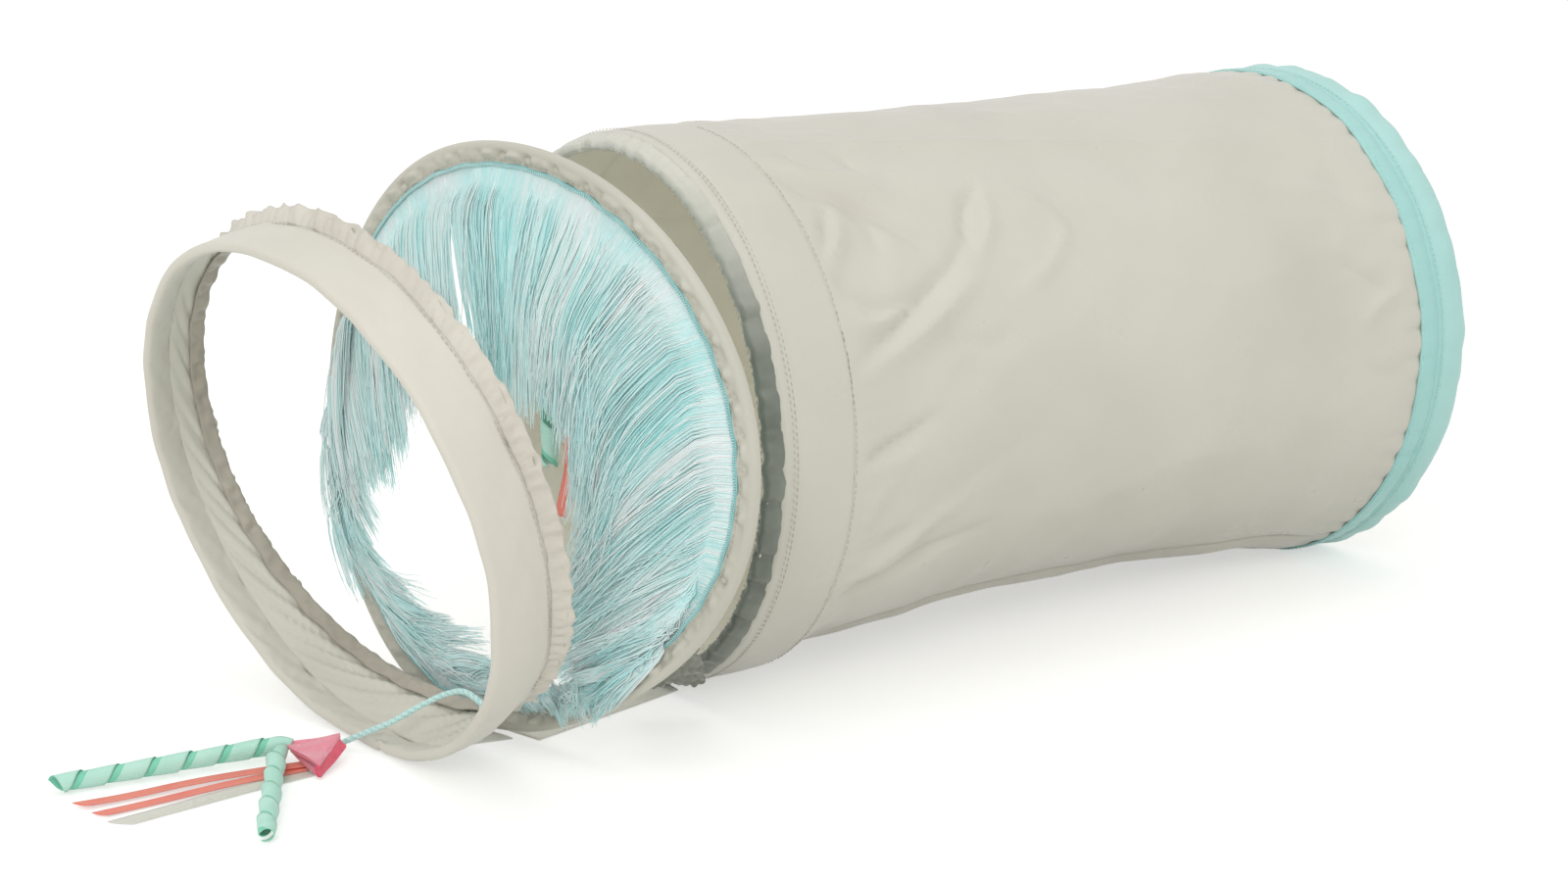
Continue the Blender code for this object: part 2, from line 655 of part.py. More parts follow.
tab_line = np.array(TAB_PLACES)
tab_grid = np.linspace(0, len(tab_line) - 1, 2 * TAB_FOLDS + 1)
tab_mid = np.stack([np.interp(tab_grid, range(len(tab_line)), tab_line[:, k]) for k in range(3)], 1)
tab_wide = [float(w) for w in np.interp(tab_grid, range(len(tab_line)), TAB_WIDTHS)]
tab_run = unit(tab_line[-1] - tab_line[0])
tab_up = unit(UP - tab_run * tab_run[2])
tab_mid = [p + tab_up * TAB_WAVE * (1 if i % 2 else -1) for i, p in enumerate(tab_mid)]
tab_lefts = [np.cross(tab_up, tab_run)] * len(tab_grid)
tab_ups = [tab_up] * len(tab_grid)
strip_body("gathered_tab", tab_mid, tab_lefts, tab_ups, tab_wide, TAB_THICKNESS, TAB_GREY, 0.8)

# Toy on its cord
toy_pivot = CORD_PLACES[-1]


def ball(name, centre, radius, colour, rough, **more):
    centre = np.asarray(centre, float)
    points, faces = [centre + UP * radius], []
    for i in range(1, BALL_ROWS):
        p = math.pi * i / BALL_ROWS
        for j in range(BALL_SIDES):
            q = 2 * math.pi * j / BALL_SIDES
            spoke = np.array([math.sin(p) * math.cos(q), math.sin(p) * math.sin(q), math.cos(p)])
            points.append(centre + radius * spoke)
    points.append(centre - UP * radius)
    base = 1 + (BALL_ROWS - 2) * BALL_SIDES
    for j in range(BALL_SIDES):
        k = (j + 1) % BALL_SIDES
        faces.append((0, 1 + j, 1 + k))
        for i in range(BALL_ROWS - 2):
            a, b = 1 + i * BALL_SIDES, 1 + (i + 1) * BALL_SIDES
            faces.append((a + j, b + j, b + k, a + k))
        faces.append((len(points) - 1, base + k, base + j))
    solid(name, points, faces, colour, rough, **more)


def smooth_line(route, step):
    """Evenly spaced points of a smooth curve through a route's own points."""
    route = np.asarray(route, float)
    ends = np.vstack([2 * route[0] - route[1], route, 2 * route[-1] - route[-2]])
    fine = []
    for a, b, c, d in zip(ends[:-3], ends[1:-2], ends[2:-1], ends[3:], strict=True):
        for t in np.arange(CURVE_SAMPLES) / CURVE_SAMPLES:
            bend = (2 * a - 5 * b + 4 * c - d) * t**2 + (3 * b - a - 3 * c + d) * t**3
            fine.append(b + ((c - a) * t + bend) / 2)
    fine = np.array([*fine, route[-1]])
    run = np.concatenate([[0.0], np.cumsum(np.linalg.norm(np.diff(fine, axis=0), axis=1))])
    even = np.linspace(0.0, run[-1], round(run[-1] / step) + 1)
    return np.stack([np.interp(even, run, fine[:, k]) for k in range(3)], 1)


def cord(name, route, diameter, colour, rough, pivot):
    line = smooth_line(route, diameter * CORD_STEP_SHARE)
    length = float(np.linalg.norm(np.diff(line, axis=0), axis=1).sum())
    print(name, "length mm", round(1000 * length, 1))
    cords.append((name, line, diameter, (colour, rough, 0.0), pivot))


cord("toy_cord", CORD_PLACES, CORD_DIAMETER, CORD_TEAL, 0.7, front_pivot)
start = np.array(CORD_PLACES[0])
away = unit(start - np.array(CORD_PLACES[1]))
knot = start + away * (KNOT_RADIUS + KNOT_GAP)
ball("toy_cord_knot", knot, KNOT_RADIUS, CORD_TEAL, 0.7, loose=True, pivot=front_pivot)

turn = math.radians(FELT_TURN)
felt_left = np.array([-math.cos(turn), -math.sin(turn), 0.0])
felt_down = np.array([math.sin(turn), -math.cos(turn), 0.0])
corner = np.array([FELT_CORNER_X, FELT_CORNER_Y, FELT_LIFT])
flat_z, top_z = FELT_THICKNESS / 2, FELT_THICKNESS * 1.5 + 2 * FELT_FOLD_RADIUS
fold = FELT_FOLD_RADIUS + FELT_THICKNESS / 2
stations = [(d, flat_z, (0.0, 1.0)) for d in (FELT_REACH, FELT_MID_REACH, FELT_FOLD_RADIUS)]
for a in (math.pi / 4, math.pi / 2, math.pi * 3 / 4):
    down, high = math.sin(a), math.cos(a)
    stations.append((FELT_FOLD_RADIUS - fold * down, flat_z + fold - fold * high, (down, high)))
upper_felt = [(FELT_FOLD_RADIUS, 0.0), (FELT_MID_REACH, FELT_MID_OPEN_SHARE), (FELT_UPPER_REACH, 1.0)]
for d, open_share in upper_felt:
    stations.append((d, top_z + FELT_OPEN * open_share, (0.0, -1.0)))
places, ups, widths = [], [], []
felt_widths = [FELT_TOP_WIDTH, FELT_MID_WIDTH, FELT_TIP_WIDTH]
for d, z, (down, high) in stations:
    wide = np.interp(max(d, 0.0), [0.0, FELT_MID_REACH, FELT_REACH], felt_widths)
    places.append(corner + felt_down * (d + fold) + UP * z)
    ups.append(felt_down * down + UP * high)
    widths.append((0.0, float(wide)))
lefts = [felt_left] * len(places)
strip_body("toy_felt", places, lefts, ups, widths, FELT_THICKNESS, PINK, 0.9, loose=True, pivot=toy_pivot)


def curl(name, ends, facing, shape, colour, pivot):
    """A ribbon wound as a helix between two ends from the side it faces, bent to its own round."""
    turns, radius, width = shape
    a, b = np.asarray(ends[0], float), np.asarray(ends[1], float)
    axis = unit(b - a)
    second = unit(np.cross(axis, facing))
    first = np.cross(second, axis)
    count = round(turns * CURL_POINTS) + 1
    slope = math.atan2(float(np.linalg.norm(b - a)) / turns, 2 * math.pi * radius)
    points, middle, left, right = [], [], [], []
    for i in range(count):
        q, run = 2 * math.pi * turns * i / (count - 1), (b - a) * i / (count - 1)
        rows = []
        for c in range(CURL_CELLS + 1):
            across = width * (c / CURL_CELLS - 0.5)
            turned = q - across * math.sin(slope) / radius
            out = first * math.cos(turned) + second * math.sin(turned)
            rows.append((a + run + axis * across * math.cos(slope), out))
        points += [p + out * (radius + RIBBON_THICKNESS / 2) for p, out in rows]
        points += [p + out * (radius - RIBBON_THICKNESS / 2) for p, out in rows[::-1]]
        middle.append(a + run + radius * (first * math.cos(q) + second * math.sin(q)))
        left.append(rows[0][0] + rows[0][1] * radius)
        right.append(rows[-1][0] + rows[-1][1] * radius)
    apart = [
        float(np.linalg.norm(right[i] - left[j]))
        for i in range(count)
        for j in range(count)
        if abs(i - j) > CURL_POINTS / 2
    ]
    length = float(np.linalg.norm(np.diff(middle, axis=0), axis=1).sum())
    print(name, "least gap to itself mm", round(1000 * min(apart), 2), "length mm", round(1000 * length, 1))
    solid(name, points, loop_faces(count, 2 * CURL_CELLS + 2, False), colour, 0.6, loose=True, pivot=pivot)


curl_mid = CURL_RADIUS + RIBBON_THICKNESS / 2 + STRIP_LIFT
long_ends = [(x, y, curl_mid) for x, y in LONG_CURL_ENDS]
short_ends = [(*SHORT_CURL_ENDS[0], curl_mid + SHORT_CURL_RISE), (*SHORT_CURL_ENDS[1], curl_mid)]
curl("toy_long_curl", long_ends, UP, (LONG_CURL_TURNS, CURL_RADIUS, CURL_WIDTH), MINT, toy_pivot)
curl("toy_short_curl", short_ends, UP, (SHORT_CURL_TURNS, CURL_RADIUS, CURL_WIDTH), MINT, toy_pivot)


def floor_ribbon(name, plan, width, colour):
    line = [np.array([x, y, FLAT_RIBBON_LIFT + RIBBON_THICKNESS / 2]) for x, y in plan]
    last = len(line) - 1
    lefts = [np.cross(UP, line[min(i + 1, last)] - line[max(i - 1, 0)]) for i in range(len(line))]
    ups, widths = [UP] * len(line), [width] * len(line)
    strip_body(name, line, lefts, ups, widths, RIBBON_THICKNESS, colour, 0.5, loose=True, pivot=toy_pivot)


floor_ribbon("toy_coral_ribbon_a", CORAL_PLACES_A, CORAL_WIDTH, CORAL)
floor_ribbon("toy_coral_ribbon_b", CORAL_PLACES_B, CORAL_WIDTH, CORAL)
floor_ribbon("toy_pale_ribbon", PALE_PLACES, PALE_WIDTH, PALE)

# Toy that hangs behind the strands
hang_high = math.sqrt(1 - (HANG_SIDE / FRINGE_HALF_WIDE) ** 2) * FRINGE_HALF_HIGH - HANG_TOP_DROP
hang_top = fringe.place(HANG_SIDE, hang_high, half + PLY_GAP + HANG_CORD_DIAMETER / 2)
hang_low = hang_top - UP * HANG_CORD_LENGTH
hang_pivot = tuple(float(v) for v in hang_top)
hang_route = [hang_top, (hang_top + hang_low) / 2, hang_low]
cord("hanging_cord", hang_route, HANG_CORD_DIAMETER, CORD_TEAL, 0.7, hang_pivot)
knot = hang_low - UP * (HANG_KNOT_RADIUS + KNOT_GAP)
ball("hanging_knot", knot, HANG_KNOT_RADIUS, CORD_TEAL, 0.7, loose=True, pivot=hang_pivot)
curl_top = knot + fringe.side * (HANG_KNOT_RADIUS + KNOT_GAP + RIBBON_THICKNESS / 2 + HANG_CURL_RADIUS)
curl_ends = [curl_top, curl_top - UP * HANG_CURL_LENGTH]
hang_curl = (HANG_CURL_TURNS, HANG_CURL_RADIUS, HANG_CURL_WIDTH)
curl("hanging_curl", curl_ends, -fringe.side, hang_curl, MINT, hang_pivot)
coral_top = knot - UP * (HANG_KNOT_RADIUS + KNOT_GAP) - fringe.side * HANG_CORAL_OUT
coral_line = []
for k in range(HANG_CORAL_STEPS + 1):
    share = k / HANG_CORAL_STEPS
    sway = fringe.side * HANG_CORAL_SWAY * math.sin(math.pi * share)
    coral_line.append(coral_top - UP * HANG_CORAL_LENGTH * share - sway)
count = len(coral_line)
strip_body(
    "hanging_coral_ribbon",
    coral_line,
    [fringe.side] * count,
    [fringe.back] * count,
    [HANG_CORAL_WIDTH] * count,
    RIBBON_THICKNESS,
    CORAL,
    0.5,
    loose=True,
    pivot=hang_pivot,
)

# Into the shared frame, as Blender objects
firm = np.vstack([points for name, points, faces, look, loose, pivot in solids if not loose])
low, high = firm.min(0), firm.max(0)
shift = np.array([-(low[0] + high[0]) / 2, -(low[1] + high[1]) / 2, -low[2]])
print("shift mm", np.round(1000 * shift, 3).tolist(), "size mm", np.round(1000 * (high - low), 1).tolist())
joints = {"fringe": fringe_pivot, "front": front_pivot, "toy": toy_pivot, "hanging": hang_pivot}
for name, place in joints.items():
    print(name, "joint mm", np.round(1000 * (np.array(place) + shift), 2).tolist())


def place_object(name, data, look, origin):
    """One object with its own material, its origin on its joint."""
    colour, rough, metal = look
    material = bpy.data.materials.new(name)
    material.use_nodes = True
    shader = material.node_tree.nodes["Principled BSDF"]
    shader.inputs["Base Color"].default_value = (*colour, 1.0)
    shader.inputs["Roughness"].default_value = rough
    shader.inputs["Metallic"].default_value = metal
    data.materials.append(material)
    item = bpy.data.objects.new(name, data)
    item.location = origin
    bpy.context.scene.collection.objects.link(item)


for name, points, faces, look, loose, pivot in solids:
    origin = np.zeros(3) if pivot is None else np.asarray(pivot, float) + shift
    mesh = bpy.data.meshes.new(name)
    mesh.from_pydata([tuple(p) for p in points + shift - origin], [], faces)
    form = bmesh.new()
    form.from_mesh(mesh)
    bmesh.ops.triangulate(form, faces=form.faces[:])
    bmesh.ops.recalc_face_normals(form, faces=form.faces[:])
    form.to_mesh(mesh)
    form.free()
    mesh.shade_smooth()
    mesh.set_sharp_from_angle(angle=math.radians(SHARP_ANGLE))
    place_object(name, mesh, look, origin)

for name, line, diameter, look, pivot in cords:
    origin = np.asarray(pivot, float) + shift
    curve = bpy.data.curves.new(name, "CURVE")
    curve.dimensions = "3D"
    curve.bevel_depth = diameter / 2
    curve.bevel_resolution = CORD_FINENESS
    curve.use_fill_caps = True
    spline = curve.splines.new("POLY")
    spline.points.add(len(line) - 1)
    for point, place in zip(spline.points, line + shift - origin, strict=True):
        point.co = (*place, 1.0)
    place_object(name, curve, look, origin)
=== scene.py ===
"""The looks of a cloth cat tunnel: gathered casings, satin panels, silky fringe, stitches and ribbon toys.

Metres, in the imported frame: the tube's axis along +X, its mouth towards -X, +Z up. Ring angles run from
the side away from the camera, over the top, to the side towards it.
"""

import math

import bpy
import numpy as np
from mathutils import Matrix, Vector


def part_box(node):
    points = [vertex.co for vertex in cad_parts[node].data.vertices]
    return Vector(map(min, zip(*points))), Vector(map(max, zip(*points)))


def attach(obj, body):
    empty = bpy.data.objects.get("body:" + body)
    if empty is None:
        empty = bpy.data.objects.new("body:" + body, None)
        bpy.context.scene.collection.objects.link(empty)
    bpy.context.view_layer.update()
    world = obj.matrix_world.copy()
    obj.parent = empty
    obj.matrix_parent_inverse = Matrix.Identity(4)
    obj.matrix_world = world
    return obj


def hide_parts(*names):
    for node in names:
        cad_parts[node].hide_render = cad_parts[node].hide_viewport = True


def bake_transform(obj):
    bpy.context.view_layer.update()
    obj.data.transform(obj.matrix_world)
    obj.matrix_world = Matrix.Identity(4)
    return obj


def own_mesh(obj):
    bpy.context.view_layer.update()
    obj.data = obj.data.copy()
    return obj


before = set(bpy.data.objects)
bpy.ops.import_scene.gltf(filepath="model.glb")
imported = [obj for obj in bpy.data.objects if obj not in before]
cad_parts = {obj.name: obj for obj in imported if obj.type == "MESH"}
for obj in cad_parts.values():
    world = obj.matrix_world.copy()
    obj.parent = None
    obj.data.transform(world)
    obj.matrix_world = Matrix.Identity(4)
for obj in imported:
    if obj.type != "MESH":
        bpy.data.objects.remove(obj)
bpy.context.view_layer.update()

# Camera
CAMERA_PLACE = (-0.74605, -1.04956, 0.42930)
CAMERA_TURN = (75.448, 0.0, -34.257)
CAMERA_LENS = 65.52
SENSOR_WIDTH = 36.0

# Cloth and wire, as in the construction
CLOTH = 0.0005
THIN_CLOTH = 0.0004
TUBE_CLOTH = 0.0006
POCKET = 0.0036
WIRE_RADIUS = 0.0009
HOOP_STEPS = 40
SMALL_TURN = 1e-4
FLOOR_REST = 0.0003

# Tube
TUBE_RADIUS = 0.125
TUBE_LENGTH = 0.404
TUBE_FLAT = 0.0040
TUBE_WAIST_TOP = 0.0020
TUBE_WAIST_FOOT = 0.0150
HEM_PLACE = 0.0370
FAR_BAND_WIDTH = 0.0310
FAR_BAND_START = TUBE_LENGTH - FAR_BAND_WIDTH

# Fringed hoop
FRINGE_SIZES = 0.1290, 0.1295, 0.0015
FRINGE_PLAN = -0.0856, -0.0401
FRINGE_TURN = 15.3, -3.6
FRINGE_BOW = 0.0166
FRINGE_DENT = 0.08
DENT_ANGLE = 240.0
DENT_SPAN = 35.0
BINDING_HALF = POCKET / 2 + CLOTH

# Front hoop
FRONT_SIZES = 0.1300, 0.1130, 0.0012
FRONT_PLAN = -0.1702, -0.0271
FRONT_TURN = 6.2, 11.3
FRONT_BAND = 0.0266
FRONT_BAND_FOOT = 0.0346
FRONT_DRAW = 0.0080
FRONT_CASING = 0.0140
PINCH_ANGLE = 264.0

# Ribbons and cords
CURL_RADIUS = 0.0038
RIBBON_THICK = 0.0004
RIBBON_SLANT = -0.8
CORD_DIAMETER = 0.0028
HANGING_CORD_DIAMETER = 0.0016
HANGING_CORD_LENGTH = 0.1010
KNOT_RADIUS = 0.0034

# Floor and light
FLOOR_HALF = 12.0
FLOOR_PLAIN = (0.86, 0.86, 0.84, 1.0)
FLOOR_SEEN = (0.62, 0.62, 0.605, 1.0)
FLOOR_GLOW = (1.0, 1.0, 0.985, 1.0)
FLOOR_GLOW_STRENGTH = 0.53
STUDIO_AIR = (1.0, 0.995, 0.985, 1.0)
STUDIO_STRENGTH = 0.80
WHITE = (1.0, 1.0, 1.0, 1.0)

far_low, far_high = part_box("far_band")
ORIGIN = np.array([far_high.x - TUBE_LENGTH, (far_low.y + far_high.y) / 2, 0.0])
UP = np.array([0.0, 0.0, 1.0])
FOOT = 1.5 * math.pi


# Numbers and small shapes

def unit(v):
    v = np.asarray(v, float)
    return v / np.linalg.norm(v, axis=-1, keepdims=True)


def smooth(x, low, high):
    """0 below low, 1 above high, and a soft ramp between them."""
    t = np.clip((np.asarray(x, float) - low) / (high - low), 0, 1)
    return t * t * (3 - 2 * t)


def bump(x, width):
    return np.exp(-((np.asarray(x, float) / width) ** 2))


def turned(a):
    """An angle brought to between half a turn below and above zero."""
    return (a + math.pi) % (2 * math.pi) - math.pi


def around(count):
    """Evenly spaced angles, once round a hoop."""
    return np.arange(count) / count * 2 * math.pi


def swell(a, waves, seed, count=4):
    """A slow, irregular wave round a hoop, from -1 to 1."""
    draw = np.random.default_rng(seed)
    total = np.zeros_like(a, dtype=float)
    for _ in range(count):
        total = total + np.sin(round(waves * draw.uniform(0.6, 1.4)) * a + draw.uniform(0, 2 * math.pi))
    return total / count


def gathers(a, count, seed):
    """Irregular gathers round a hoop: pinched valleys between rounder puffs, from -1 to 1."""
    phase = count * a + 2.2 * swell(a, 7, seed) + 1.1 * swell(a, 17, seed + 1)
    height = 0.55 + 0.45 * swell(a, 11, seed + 2)
    return height * (2 * np.abs(np.sin(phase / 2)) ** 0.7 - 1)


def crumple(a, share, seed):
    """Small irregular creases that run mostly across a narrow strip."""
    draw = np.random.default_rng(seed)
    total = 0.0
    for _ in range(14):
        waves, slant = round(draw.uniform(28, 120)), draw.normal(0, 2.5)
        total = total + np.sin(waves * a + slant * share + draw.uniform(0, 2 * math.pi)) * (40 / waves) ** 0.5
    return total / 3.2


def lowness(a):
    """0 at the top of a hoop, 1 at its foot."""
    return 0.5 - 0.5 * np.sin(a)


def arch(share):
    """0 at both ends of a share from 0 to 1, and 1 in its middle."""
    return np.sin(math.pi * np.clip(share, 0, 1))


def hem_gathers(a):
    """The gathers of the seam at the tube's hem, shared by all that is sewn there."""
    return gathers(a, 84, 11)


def far_gathers(a):
    """The gathers of the seam between the tube and the far band."""
    return gathers(a, 58, 12)


def binding_sway(a):
    """How the fringe binding's inner edge wanders, with the tape and the rows sewn on it."""
    return swell(a, 34, 62)


def band_sway(a):
    """How the front band's surface wanders in and out."""
    return 0.0006 * swell(a, 6, 81)


class Ring:
    """A closed curve that stands on the floor, seen from its front: side to side, up, and back."""

    def __init__(self, plan, turn, sizes, **form):
        """Its place on the floor, its turn and lean in degrees, its half width, height and flat foot."""
        yaw, tip = (math.radians(t) for t in turn)
        self.side = np.array([-math.sin(yaw), math.cos(yaw), 0.0])
        self.back = np.array([math.cos(yaw) * math.cos(tip), math.sin(yaw) * math.cos(tip), math.sin(tip)])
        self.up = np.cross(self.back, self.side)
        self.wide, self.high, self.flat = sizes
        self.bow, self.dent = form.get("bow", 0.0), form.get("dent", 0.0)
        self.centre = ORIGIN + np.array([*plan, 0.0])
        self.rests = False
        steps, rest = around(HOOP_STEPS) - math.pi / 2, form.get("rest", 0.0)
        self.centre[2] = -min(self.at(0.0, back, steps)[:, 2].min() for back in (rest, -rest))
        self.rests = True

    def plan(self, a):
        """The curve itself: an ellipse with a flattened foot and, if told, a dent."""
        spread = math.sqrt(2 * self.flat / self.high)
        shrink = 1 - self.dent * bump(turned(a - math.radians(DENT_ANGLE)), math.radians(DENT_SPAN))
        s = self.wide * np.cos(a) * shrink
        t = self.high * np.sin(a) * shrink + self.flat * bump(turned(a - FOOT), spread)
        return s, t

    def normal(self, a):
        """The way out from the curve, in its own plane."""
        s0, t0 = self.plan(a - SMALL_TURN)
        s1, t1 = self.plan(a + SMALL_TURN)
        size = np.hypot(s1 - s0, t1 - t0)
        return (t1 - t0) / size, (s0 - s1) / size

    def at(self, out, back, a):
        """Places at an angle, moved out from the curve and back along the axis, kept above the floor."""
        s, t = self.plan(a)
        ns, nt = self.normal(a)
        points = self.place(s + ns * out, t + nt * out, back)
        if self.rests:
            points[..., 2] = np.maximum(points[..., 2], FLOOR_REST)
        return points

    def place(self, s, t, back):
        """Places given side to side, up and back, with the ring's bow added."""
        s, t, back = np.broadcast_arrays(np.asarray(s, float), np.asarray(t, float), np.asarray(back, float))
        back = back + self.bow * (s / self.wide) ** 2
        return self.centre + s[..., None] * self.side + t[..., None] * self.up + back[..., None] * self.back


tube = Ring((0.0, 0.0), (0.0, 0.0), (TUBE_RADIUS, TUBE_RADIUS, TUBE_FLAT))
fringe = Ring(
    FRINGE_PLAN, FRINGE_TURN, FRINGE_SIZES, bow=FRINGE_BOW, dent=FRINGE_DENT, rest=BINDING_HALF - 0.0007
)
front = Ring(FRONT_PLAN, FRONT_TURN, FRONT_SIZES)


# Colours and materials

def srgb(colour):
    """A colour as it looks on a screen, from 0 to 255, as the linear colour that a shader takes."""
    parts = []
    for part in colour:
        c = part / 255
        parts.append(c / 12.92 if c <= 0.04045 else ((c + 0.055) / 1.055) ** 2.4)
    return (*parts, 1.0)


def add_node(tree, kind, inputs=(), **settings):
    """A node with its settings; each input takes a value or another node's output."""
    node = tree.nodes.new(kind)
    for key, value in settings.items():
        setattr(node, key, value)
    for socket, value in dict(inputs).items():
        if isinstance(value, bpy.types.NodeSocket):
            tree.links.new(value, node.inputs[socket])
        else:
            node.inputs[socket].default_value = value
    return node


class Finish:
    """A material under construction, around its Principled shader."""

    def __init__(self, name, rough, **sockets):
        """A name, a roughness, and values for the shader's other sockets."""
        self.material = bpy.data.materials.new(name)
        self.material.use_nodes = True
        self.tree = self.material.node_tree
        self.shader = self.tree.nodes["Principled BSDF"]
        self.shader.inputs["Roughness"].default_value = rough
        for socket, value in sockets.items():
            self.shader.inputs[socket.replace("_", " ")].default_value = value
        self.coords = self.tree.nodes.new("ShaderNodeTexCoord")
        self.height = None

    def node(self, kind, inputs=(), **settings):
        return add_node(self.tree, kind, inputs, **settings)

    def noise(self, scale, detail=3.0, stretch=(1.0, 1.0, 1.0)):
        where = self.node("ShaderNodeMapping", {"Vector": self.coords.outputs["Object"], "Scale": stretch})
        inputs = {"Vector": where.outputs[0], "Scale": scale, "Detail": detail}
        return self.node("ShaderNodeTexNoise", inputs).outputs["Fac"]

    def wave(self, pitch, along):
        """Even ridges at a pitch in metres, across the first or the second way of the piece's own map."""
        inputs = {"Vector": self.coords.outputs["UV"], "Scale": 2 * math.pi / 20 / pitch}
        looks = {"wave_type": "BANDS", "bands_direction": along, "wave_profile": "SIN"}
        return self.node("ShaderNodeTexWave", inputs, **looks).outputs["Fac"]

    def weave(self):
        """The crossing threads of a plain weave."""
        return self.product(self.wave(THREAD_PITCH, "X"), self.wave(THREAD_PITCH, "Y"))

    def product(self, a, b):
        return self.node("ShaderNodeMath", {0: a, 1: b}, operation="MULTIPLY").outputs[0]

    def span(self, value, low, high, start=0.3, end=0.7):
        inputs = {"Value": value, "From Min": start, "From Max": end, "To Min": low, "To Max": high}
        return self.node("ShaderNodeMapRange", inputs).outputs[0]

    def tint(self, factor, first, second):
        """Two colours as they look on a screen, or sockets in their place, mixed by a factor."""
        first, second = (srgb(c) if isinstance(c, tuple) else c for c in (first, second))
        return self.node("ShaderNodeMix", {0: factor, 6: first, 7: second}, data_type="RGBA").outputs[2]

    def colour(self, value):
        self.tree.links.new(value, self.shader.inputs["Base Color"])

    def rough(self, value):
        self.tree.links.new(value, self.shader.inputs["Roughness"])

    def relief(self, height, depth):
        """Adds a bump of a real depth in metres to the surface."""
        bump_node = self.node("ShaderNodeBump", {"Height": height, "Distance": depth, "Strength": 1.0})
        if self.height is not None:
            self.tree.links.new(self.height, bump_node.inputs["Normal"])
        self.height = bump_node.outputs[0]
        self.tree.links.new(self.height, self.shader.inputs["Normal"])


THREAD_PITCH = 0.00042
THREAD_DEPTH = 0.00004


def satin(name, light, dark, rough=0.42, sheen=0.15):
    """Close-woven polyester: a fine plain weave, slow changes of tone and a soft sheen."""
    finish = Finish(name, rough, Sheen_Weight=sheen, Sheen_Roughness=0.4, Specular_IOR_Level=0.4)
    slow = finish.span(finish.noise(9.0, 2.0), 0.0, 1.0)
    streak = finish.span(finish.noise(14.0, 4.0, stretch=(0.4, 1.0, 1.0)), 0.4, 1.0)
    body = finish.tint(finish.product(slow, streak), light, dark)
    weave = finish.weave()
    finish.colour(finish.tint(finish.product(weave, 0.10), body, dark))
    finish.rough(finish.span(finish.noise(45.0, 3.0), rough - 0.06, rough + 0.08))
    finish.relief(weave, THREAD_DEPTH)
    finish.relief(finish.noise(130.0, 3.0), 0.00018)
    return finish.material


def casing_satin_painted_shading(name, top, side, dark):
    """Heavy satin of the mouth casing, with painted light and shade: pale at the top and darker grey-green
    lower down, by height, mottled at random in the darker tones.
    """
    finish = Finish(name, 0.3, Sheen_Weight=0.15, Specular_IOR_Level=0.55)
    place = finish.node("ShaderNodeSeparateXYZ", {0: finish.coords.outputs["Object"]})
    # Painted light and shade: the darker side tones low down give way to the pale top tone by height.
    height = finish.span(place.outputs[2], 0.0, 1.0, 0.165, 0.238)
    mottle = finish.span(finish.noise(60.0, 3.0), 0.0, 1.0)
    body = finish.tint(height, finish.tint(mottle, side, dark), top)
    weave = finish.weave()
    finish.colour(finish.tint(finish.product(weave, 0.12), body, dark))
    finish.rough(finish.span(finish.noise(80.0, 2.0), 0.24, 0.38))
    finish.relief(weave, THREAD_DEPTH)
    finish.relief(finish.noise(150.0, 3.0), 0.00030)
    return finish.material


def grosgrain(name, light, dark, rib=0.0008):
    """Ribbon with cross ribs, with painted shade in the grooves between them."""
    finish = Finish(name, 0.5, Sheen_Weight=0.2, Sheen_Roughness=0.3)
    ribs = finish.wave(rib, "X")
    tone = finish.span(finish.noise(60.0, 2.0), 0.0, 0.5)
    body = finish.tint(tone, light, dark)
    # Painted shade: the ribs' grooves are mixed towards the dark colour.
    finish.colour(finish.tint(finish.product(ribs, 0.7), body, dark))
    finish.rough(finish.span(finish.noise(200.0, 2.0), 0.45, 0.6))
    finish.relief(ribs, 0.00012)
    return finish.material


def silk(name, deep, middle, bright):
    """Silky strands: each has its own shade, paler where it catches the light."""
    finish = Finish(name, 0.34, Specular_IOR_Level=0.9, Sheen_Weight=0.6, Sheen_Roughness=0.4)
    shade = finish.node("ShaderNodeAttribute", attribute_name="shade").outputs["Fac"]
    run = finish.node("ShaderNodeAttribute", attribute_name="run").outputs["Fac"]
    lower = finish.tint(finish.span(shade, 0.0, 1.0, 0.0, 0.55), deep, middle)
    body = finish.tint(finish.span(shade, 0.0, 1.0, 0.5, 1.0), lower, bright)
    glint = finish.span(finish.noise(26.0, 2.0), 0.0, 0.55, 0.42, 0.7)
    glint = finish.product(glint, finish.span(run, 1.0, 0.35, 0.0, 1.0))
    finish.colour(finish.tint(glint, body, bright))
    finish.rough(finish.span(finish.noise(300.0, 2.0), 0.28, 0.42))
    return finish.material


def felt(name, light, dark):
    """Pressed felt: short matted fibres and a dry surface."""
    finish = Finish(name, 0.92, Sheen_Weight=0.6, Sheen_Roughness=0.6, Specular_IOR_Level=0.15)
    fibres = finish.noise(900.0, 6.0)
    mottle = finish.noise(260.0, 4.0)
    both = finish.product(finish.span(fibres, 0.0, 1.0), finish.span(mottle, 0.2, 1.0))
    finish.colour(finish.tint(both, light, dark))
    finish.rough(finish.span(mottle, 0.85, 0.98))
    finish.relief(fibres, 0.00025)
    return finish.material


def braid(name, light, dark):
    """Braided cord: pale crossing yarns, with painted shade in a deeper teal in the gaps between them."""
    finish = Finish(name, 0.62, Sheen_Weight=0.3, Sheen_Roughness=0.5)
    yarns = finish.product(finish.wave(0.0016, "DIAGONAL"), finish.wave(0.0011, "X"))
    fuzz = finish.noise(1400.0, 3.0)
    # Painted shade: the gaps between the yarns take the dark colour.
    gaps = finish.product(yarns, finish.span(fuzz, 0.5, 1.0))
    finish.colour(finish.tint(gaps, light, dark))
    finish.rough(finish.span(fuzz, 0.55, 0.75))
    finish.relief(yarns, 0.00015)
    return finish.material


